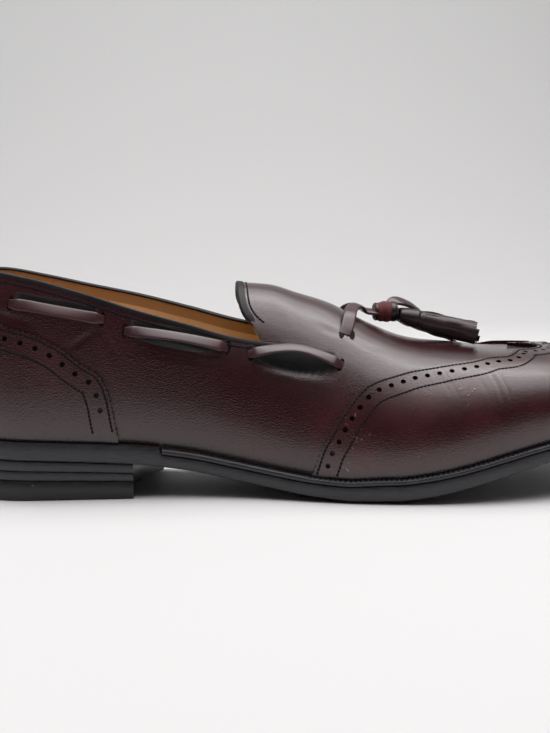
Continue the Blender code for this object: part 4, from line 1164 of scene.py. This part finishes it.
welt_s = np.concatenate((np.linspace(WELT_START, TOE_END, 420, endpoint=False),
                         np.linspace(TOE_END, 1.0, 190)))
welt_g = np.concatenate((welt_s, 2.0 - welt_s[-2::-1]))
welt_steps = np.linalg.norm(np.diff(sole_outline(welt_g), axis=0), axis=1)
welt_run = np.concatenate(([0.0], np.cumsum(welt_steps)))
TOOTH = 0.0021
teeth = 0.5 + 0.5 * np.cos(2.0 * math.pi * welt_run / TOOTH)
marked = smooth((station_of(welt_g) - 0.47) / 0.02)
profile = ((0.012, 0.0, 0.0), (0.0004, 0.0, 0.0), (0.0, 0.0004, 0.0), (-0.0001, 0.0011, 0.2),
           (0.0001, 0.0018, 0.6), (0.0005, 0.0022, 1.0), (0.0014, 0.0024, 1.0),
           (0.0022, 0.0024, 0.5), (0.0030, 0.0022, 0.0), (0.0120, 0.0022, 0.0))
rings = []
for inset, up, bite in profile:
    xy = plan(welt_g, np.full(welt_g.shape, inset) + 0.00018 * bite * marked * (1.0 - teeth))
    xy[:, 0] = np.maximum(xy[:, 0], (WELT_START - 0.5) * LENGTH)
    z = seat(xy[:, 0]) - WELT_THICKNESS + up - 0.00045 * bite * marked * (1.0 - teeth)
    rings.append(np.concatenate((xy, z[:, None]), axis=1))
welt = tube("welt_strip", np.stack(rings, axis=1), 50.0)


def heel_outline(inset, across=24):
    """Outline of the heel block with its hollow breast."""
    lateral = np.concatenate((np.linspace(0.0, HEEL_END, 40, endpoint=False),
                              np.linspace(HEEL_END, BREAST_LATERAL / LENGTH, 30)))
    medial = np.concatenate((np.linspace(0.0, HEEL_END, 40, endpoint=False),
                             np.linspace(HEEL_END, BREAST_MEDIAL / LENGTH, 32)))[1:]
    near = plan(lateral, np.full(lateral.shape, inset))
    far = plan(2.0 - medial, np.full(medial.shape, inset))
    t = np.linspace(0.0, 1.0, across + 1)[1:-1]
    breast = mix(near[-1], far[-1], t[:, None])
    breast[:, 0] -= BREAST_DEPTH * 4.0 * t * (1.0 - t)
    return np.concatenate((near, breast, far[::-1]))


def heel_piece(name, bottom, top, inset, groove):
    """One lift, with rounded edges where it meets the next."""
    levels = ((0.0022, 0.0, 0.0), (0.0008, 0.0, 0.00002), (0.0003, 0.0, 0.00025), (0.0, 0.0, 0.0007),
              (0.0, 1.0, -0.0005), (0.00018, 1.0, -0.00018), (0.0006, 1.0, -0.00004), (0.0022, 1.0, 0.0))
    rings = []
    for more, share, lift in levels:
        xy = heel_outline(inset + more * groove)
        low, high = underside(xy[:, 0]) * bottom, underside(xy[:, 0]) * top
        z = mix(low, high, share) + lift
        rings.append(np.concatenate((xy, z[:, None]), axis=1))
    return tube(name, rings, 35.0)


heel_low, heel_high = HEEL_LINES
heel_pieces = {
    "heel_top_piece": heel_piece("heel_rubber", 0.0, heel_low, HEEL_INSET + 2 * HEEL_STEP, 1.0),
    "heel_lift_2": heel_piece("heel_stack_low", heel_low, heel_high, HEEL_INSET + HEEL_STEP, 0.7),
    "heel_lift_1": heel_piece("heel_stack_high", heel_high, 1.0, HEEL_INSET, 0.7),
}


# Shared effects, as groups of shader nodes
def shader_group(name, inputs, outputs):
    tree = bpy.data.node_groups.new(name, "ShaderNodeTree")
    for key, kind, value in inputs:
        socket = tree.interface.new_socket(key, in_out="INPUT", socket_type=kind)
        socket.default_value = value
    for key, kind in outputs:
        tree.interface.new_socket(key, in_out="OUTPUT", socket_type=kind)
    return tree, tree.nodes.new("NodeGroupInput"), tree.nodes.new("NodeGroupOutput")


FLOAT = "NodeSocketFloat"


def grain_group():
    """Fine leather grain: closed cells with finer wrinkles, as a height from 0 to 1, and a mottle."""
    tree, gin, out = shader_group("leather_grain", (("Cells", FLOAT, 1400.0),),
                                  (("Height", FLOAT), ("Mottle", FLOAT), ("Cloud", FLOAT)))
    coords = node(tree, "ShaderNodeTexCoord")
    cells = node(tree, "ShaderNodeTexVoronoi", feature="SMOOTH_F1", Smoothness=0.6)
    fine = node(tree, "ShaderNodeTexNoise", Detail=4.0, Roughness=0.6)
    cloud = node(tree, "ShaderNodeTexNoise", Scale=42.0, Detail=5.0, Roughness=0.55)
    broad = node(tree, "ShaderNodeTexNoise", Scale=13.0, Detail=3.0, Roughness=0.5)
    double = node(tree, "ShaderNodeMath", operation="MULTIPLY")
    double.inputs[1].default_value = 2.3
    blend = node(tree, "ShaderNodeMix", data_type="FLOAT")
    blend.inputs["Factor"].default_value = 0.45
    for texture in (cells, fine, cloud, broad):
        tree.links.new(coords.outputs["Object"], texture.inputs["Vector"])
    wire(tree, (gin, "Cells", cells, "Scale"), (gin, "Cells", double, 0), (double, 0, fine, "Scale"),
         (cells, "Distance", blend, 2), (fine, "Fac", blend, 3), (blend, 0, out, "Height"),
         (cloud, "Fac", out, "Mottle"), (broad, "Fac", out, "Cloud"))
    return tree


def specks_group():
    """Small scattered specks of dust and scuff, as a mask."""
    tree, gin, out = shader_group("dust_specks", (("Scale", FLOAT, 260.0), ("Amount", FLOAT, 0.1)),
                                  (("Mask", FLOAT),))
    coords = node(tree, "ShaderNodeTexCoord")
    small = node(tree, "ShaderNodeTexNoise", Detail=3.0, Roughness=0.7)
    patch = node(tree, "ShaderNodeTexNoise", Scale=30.0, Detail=2.0)
    times = node(tree, "ShaderNodeMath", operation="MULTIPLY")
    low = node(tree, "ShaderNodeMath", operation="SUBTRACT")
    low.inputs[0].default_value = 0.46
    ramp = node(tree, "ShaderNodeMapRange")
    ramp.inputs["To Max"].default_value = 1.0
    top = node(tree, "ShaderNodeMath", operation="ADD")
    top.inputs[1].default_value = 0.05
    for texture in (small, patch):
        tree.links.new(coords.outputs["Object"], texture.inputs["Vector"])
    wire(tree, (gin, "Scale", small, "Scale"), (gin, "Amount", low, 1), (small, "Fac", times, 0),
         (patch, "Fac", times, 1), (times, 0, ramp, "Value"), (low, 0, ramp, "From Min"),
         (low, 0, top, 0), (top, 0, ramp, "From Max"), (ramp, 0, out, "Mask"))
    return tree


GRAIN, SPECKS = grain_group(), specks_group()


class Finish:
    """A material, with its shader at hand."""

    def __init__(self, name, color, roughness, **sockets):
        self.material = bpy.data.materials.new(name)
        self.material.use_nodes = True
        self.tree = self.material.node_tree
        self.shader = self.tree.nodes["Principled BSDF"]
        self.shader.inputs["Base Color"].default_value = (*color, 1.0)
        self.shader.inputs["Roughness"].default_value = roughness
        for key, value in sockets.items():
            self.shader.inputs[key.replace("_", " ")].default_value = value

    def node(self, kind, **values):
        return node(self.tree, kind, **values)

    def link(self, a, b):
        self.tree.links.new(a, b)

    def group(self, tree, **values):
        made = self.node("ShaderNodeGroup")
        made.node_tree = tree
        for key, value in values.items():
            made.inputs[key].default_value = value
        return made

    def ramp(self, source, low, high, to_low=0.0, to_high=1.0):
        made = self.node("ShaderNodeMapRange")
        for key, value in (("From Min", low), ("From Max", high),
                           ("To Min", to_low), ("To Max", to_high)):
            made.inputs[key].default_value = value
        self.link(source, made.inputs["Value"])
        return made.outputs[0]

    def mix_color(self, factor, a, b):
        """Mix of two colours. Each is a colour or a socket."""
        made = self.node("ShaderNodeMix", data_type="RGBA")
        for socket, value in ((made.inputs[0], factor), (made.inputs[6], a), (made.inputs[7], b)):
            if isinstance(value, bpy.types.NodeSocket):
                self.link(value, socket)
            elif isinstance(value, tuple):
                socket.default_value = (*value, 1.0)
            else:
                socket.default_value = value
        return made.outputs[2]

    def attribute(self, key):
        return self.node("ShaderNodeAttribute", attribute_name=key).outputs["Fac"]

    def bump(self, height, strength, distance, before=None):
        made = self.node("ShaderNodeBump")
        made.inputs["Strength"].default_value = strength
        made.inputs["Distance"].default_value = distance
        self.link(height, made.inputs["Height"])
        if before is not None:
            self.link(before, made.inputs["Normal"])
        return made.outputs[0]

    def higher(self, a, b):
        """The higher of two values."""
        made = self.node("ShaderNodeMath", operation="MAXIMUM")
        self.link(a, made.inputs[0])
        self.link(b, made.inputs[1])
        return made.outputs[0]

    def color(self, socket):
        self.link(socket, self.shader.inputs["Base Color"])

    def roughness(self, socket):
        self.link(socket, self.shader.inputs["Roughness"])

    def normal(self, socket):
        self.link(socket, self.shader.inputs["Normal"])


# The last two colours are painted shade: near-black along the feather line, and darker still under the
# overlays and the lace runs
DEEP, WARM, FOOT_SHADE, SHADED = ((0.028, 0.0044, 0.0062), (0.056, 0.0088, 0.0110), (0.006, 0.005, 0.006),
                            (0.0015, 0.0010, 0.0012))


def calf(name, painted_shade=False):
    """Polished burgundy calf."""
    made = Finish(name, DEEP, 0.3, Coat_Weight=0.4, Coat_Roughness=0.2, Specular_IOR_Level=0.6)
    grain = made.group(GRAIN, Cells=1500.0)
    mottle = made.ramp(grain.outputs["Mottle"], 0.35, 0.68)
    color = made.mix_color(mottle, DEEP, WARM)
    color = made.mix_color(made.ramp(grain.outputs["Cloud"], 0.42, 0.62), DEEP, color)
    dust = made.group(SPECKS, Scale=420.0, Amount=0.055)
    specks = made.ramp(dust.outputs["Mask"], 0.0, 1.0, 0.0, 0.5)
    color = made.mix_color(specks, color, (0.22, 0.18, 0.18))
    # Painted shade: near-black along the feather line, where the leather tucks in above the welt
    color = made.mix_color(made.attribute("foot"), color, FOOT_SHADE)
    # On the upper: painted shade, near-black and matte, under the cap, the counter and the lace runs
    if painted_shade:
        color = made.mix_color(made.attribute("painted_shade"), color, SHADED)
    made.color(color)
    gloss = made.ramp(grain.outputs["Mottle"], 0.3, 0.7, 0.20, 0.28)
    if painted_shade:
        gloss = made.higher(gloss, made.attribute("painted_shade"))
    made.roughness(gloss)
    made.normal(made.bump(grain.outputs["Height"], 0.8, 0.00024,
                          made.bump(grain.outputs["Mottle"], 0.3, 0.0008)))
    return made.material


def simple_leather(name, color, lighter, roughness, cells, bump, **sockets):
    made = Finish(name, color, roughness, **sockets)
    grain = made.group(GRAIN, Cells=cells)
    made.color(made.mix_color(made.ramp(grain.outputs["Mottle"], 0.35, 0.65), color, lighter))
    made.roughness(made.ramp(grain.outputs["Mottle"], 0.3, 0.7, roughness - 0.05, roughness + 0.06))
    made.normal(made.bump(grain.outputs["Height"], bump, 0.00008))
    return made.material


def lining_finish():
    """Tan lining, with a brown band under the topline and a pinkish grip at the heel."""
    made = Finish("tan lining", (0.50, 0.27, 0.10), 0.55)
    grain = made.group(GRAIN, Cells=1100.0)
    color = made.mix_color(made.ramp(grain.outputs["Mottle"], 0.35, 0.65),
                           (0.80, 0.61, 0.36), (0.88, 0.72, 0.47))
    coords = made.node("ShaderNodeTexCoord")
    split = made.node("ShaderNodeSeparateXYZ")
    made.link(coords.outputs["Object"], split.inputs[0])
    heel = made.ramp(split.outputs["X"], -0.0905, -0.0900, 1.0, 0.0)
    color = made.mix_color(heel, color, (0.86, 0.52, 0.36))
    seam = made.ramp(split.outputs["X"], -0.0900, -0.0893, 1.0, 0.0)
    line = made.node("ShaderNodeMath", operation="SUBTRACT")
    made.link(seam, line.inputs[0])
    made.link(heel, line.inputs[1])
    color = made.mix_color(line.outputs[0], color, (0.16, 0.06, 0.03))
    band = made.ramp(made.attribute("topline"), 0.0048, 0.0054, 1.0, 0.0)
    color = made.mix_color(band, color, (0.46, 0.30, 0.14))
    made.color(color)
    made.normal(made.bump(grain.outputs["Height"], 0.4, 0.00008))
    return made.material


def sole_finish(name, color, dusty):
    """Dyed and waxed edge: dark, faintly streaked along it, with scuffs."""
    made = Finish(name, color, 0.42, Specular_IOR_Level=0.5)
    coords = made.node("ShaderNodeTexCoord")
    mapping = made.node("ShaderNodeMapping")
    mapping.inputs["Scale"].default_value = (1.0, 1.0, 9.0)
    made.link(coords.outputs["Object"], mapping.inputs["Vector"])
    streak = made.node("ShaderNodeTexNoise", Scale=150.0, Detail=5.0, Roughness=0.65)
    made.link(mapping.outputs[0], streak.inputs["Vector"])
    lighter = tuple(2.0 * c for c in color)
    base = made.mix_color(made.ramp(streak.outputs["Fac"], 0.35, 0.7), color, lighter)
    dust = made.group(SPECKS, Scale=300.0, Amount=dusty)
    made.color(made.mix_color(dust.outputs["Mask"], base, (0.35, 0.34, 0.33)))
    made.roughness(made.ramp(streak.outputs["Fac"], 0.3, 0.7, 0.26, 0.42))
    made.normal(made.bump(streak.outputs["Fac"], 0.35, 0.0002))
    return made.material


def dress(material, *objects):
    for obj in objects:
        obj.data.materials.clear()
        obj.data.materials.append(material)


dress(calf("burgundy calf of the upper", painted_shade=True), upper)
dress(calf("burgundy calf of the cap"), cap)
dress(calf("burgundy calf of the counter"), counter)
dress(lining_finish(), lining)
dress(simple_leather("black piping", (0.006, 0.005, 0.006), (0.013, 0.011, 0.013), 0.46, 1500.0, 0.3,
                     Specular_IOR_Level=0.3),
      collar, tongue_edge)
lace_leather = simple_leather("burgundy lace", (0.030, 0.007, 0.010), (0.055, 0.014, 0.017),
                              0.34, 1500.0, 0.4, Coat_Weight=0.3, Coat_Roughness=0.28)
dress(lace_leather, *lace_strips.values(), straps["lateral"][0], straps["medial"][0], tail)
dark_leather = simple_leather("dark tassel leather", (0.010, 0.004, 0.0055), (0.030, 0.010, 0.012),
                              0.38, 1200.0, 0.6)
dress(dark_leather, knot_band, *tassels["lateral"], *tassels["medial"])
dress(simple_leather("red suede", (0.060, 0.008, 0.008), (0.160, 0.020, 0.018), 0.85, 2600.0, 0.9,
                     Sheen_Weight=0.15, Sheen_Roughness=0.5), knot_core)
dress(sole_finish("black sole edge", (0.018, 0.017, 0.020), 0.035), outsole, welt,
      heel_pieces["heel_lift_1"], heel_pieces["heel_lift_2"])
dress(sole_finish("black heel rubber", (0.010, 0.010, 0.011), 0.06), heel_pieces["heel_top_piece"])
thread = simple_leather("black thread", (0.004, 0.003, 0.004), (0.009, 0.007, 0.009), 0.75, 3000.0, 0.5,
                        Specular_IOR_Level=0.2)
stitches = repeat("stitches", "capsule", all_points, all_along, all_face, STITCH_SIZE, thread)
# The slot plugs are painted shade, in the black thread finish
dress(thread, slot_shadows)
dress(simple_leather("tan sock leather", (0.50, 0.28, 0.12), (0.60, 0.36, 0.17), 0.6, 1000.0, 0.4),
      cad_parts["insole"])

# What rides on the part, what it stands for, and its finish
for piece, slot_name, nodes in (
    (upper, "upper_leather", ("upper",)), (lining, "sock_leather", ()),
    (cap, "upper_leather", ("wing_cap",)), (counter, "upper_leather", ("heel_counter",)),
    (collar, "edge_binding", ("collar_binding",)), (tongue_edge, "edge_binding", ("tongue_binding",)),
    (stitches, "upper_leather", ()), (slot_shadows, "upper_leather", ()),
    (outsole, "sole_edge", ("outsole",)), (welt, "sole_edge", ("welt",)),
    (heel_pieces["heel_top_piece"], "heel_top", ("heel_top_piece",)),
    (heel_pieces["heel_lift_1"], "sole_edge", ("heel_lift_1",)),
    (heel_pieces["heel_lift_2"], "sole_edge", ("heel_lift_2",)),
    (straps["lateral"][0], "lace_leather", ("lace_end_lateral",)),
    (straps["medial"][0], "lace_leather", ("lace_end_medial",)),
    (knot_core, "lace_leather", ("lace_knot",)), (knot_band, "lace_leather", ()),
    (tail, "lace_leather", ()),
    (tassels["lateral"][0], "lace_leather", ("tassel_lateral",)),
    (tassels["lateral"][1], "lace_leather", ()),
    (tassels["medial"][0], "lace_leather", ("tassel_medial",)),
    (tassels["medial"][1], "lace_leather", ()),
    *((obj, "lace_leather", (key,)) for key, obj in lace_strips.items()),
):
    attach(piece, "root")
    if nodes:
        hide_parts(*nodes)

for word, with_pieces in (("lateral", [knot_core, knot_band, tail, *tassels["lateral"]]),
                          ("medial", [*tassels["medial"]])):
    strap, path = straps[word]
    run = float(np.linalg.norm(np.diff(path, axis=0), axis=1).sum())
    tuple(path[0])
    [tuple(p) for p in path]
    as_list(with_pieces)

# Floor that curves up into the backdrop, and soft light
bend = [(-3.0, 0.0), (0.9, 0.0)]
bend += [(0.9 + 0.8 * math.sin(a), 0.8 - 0.8 * math.cos(a)) for a in np.linspace(0.05, 0.5 * math.pi, 24)]
bend += [(1.7, 4.0)]
points = [(x, y, z) for y, z in bend for x in (-5.0, 5.0)]
cove = mesh_object("cove", points, [(2 * i, 2 * i + 1, 2 * i + 3, 2 * i + 2) for i in range(len(bend) - 1)],
                   angle=80.0)
dress(Finish("pale paper", (0.69, 0.69, 0.685), 0.6).material, cove)

world = bpy.data.worlds.new("studio")
bpy.context.scene.world = world
world.use_nodes = True
sky = world.node_tree
background = sky.nodes["Background"]
direction = node(sky, "ShaderNodeTexCoord")
parts = node(sky, "ShaderNodeSeparateXYZ")
upward = node(sky, "ShaderNodeMapRange")
for key, value in (("From Min", 0.1), ("From Max", 0.8), ("To Min", 0.025), ("To Max", 0.30)):
    upward.inputs[key].default_value = value
away = node(sky, "ShaderNodeMath", operation="MULTIPLY_ADD")
away.inputs[1].default_value = 0.35
wire(sky, (direction, "Generated", parts, 0), (parts, "Y", away, 0), (parts, "Z", away, 2),
     (away, 0, upward, "Value"), (upward, 0, background, "Strength"))
background.inputs["Color"].default_value = (0.97, 0.95, 0.96, 1.0)


def softbox(name, place, aim, size, power, color=(1.0, 1.0, 1.0)):
    light = bpy.data.lights.new(name, "AREA")
    light.shape = "RECTANGLE"
    light.size, light.size_y = size
    light.energy = power
    light.color = color
    lamp = new_object(name, light)
    lamp.location = place
    lamp.rotation_euler = (Vector(aim) - Vector(place)).to_track_quat("-Z", "Y").to_euler()


softbox("top_light", (0.1, 0.02, 1.1), (0.1, 0.02, 0.0), (1.9, 1.3), 20.0, (1.0, 0.97, 0.98))
softbox("paper_light", (0.0, 0.2, 1.6), (0.0, 1.5, 0.4), (2.0, 0.6), 16.0)
bpy.context.scene.view_settings.view_transform = "Standard"

bpy.context.view_layer.update()
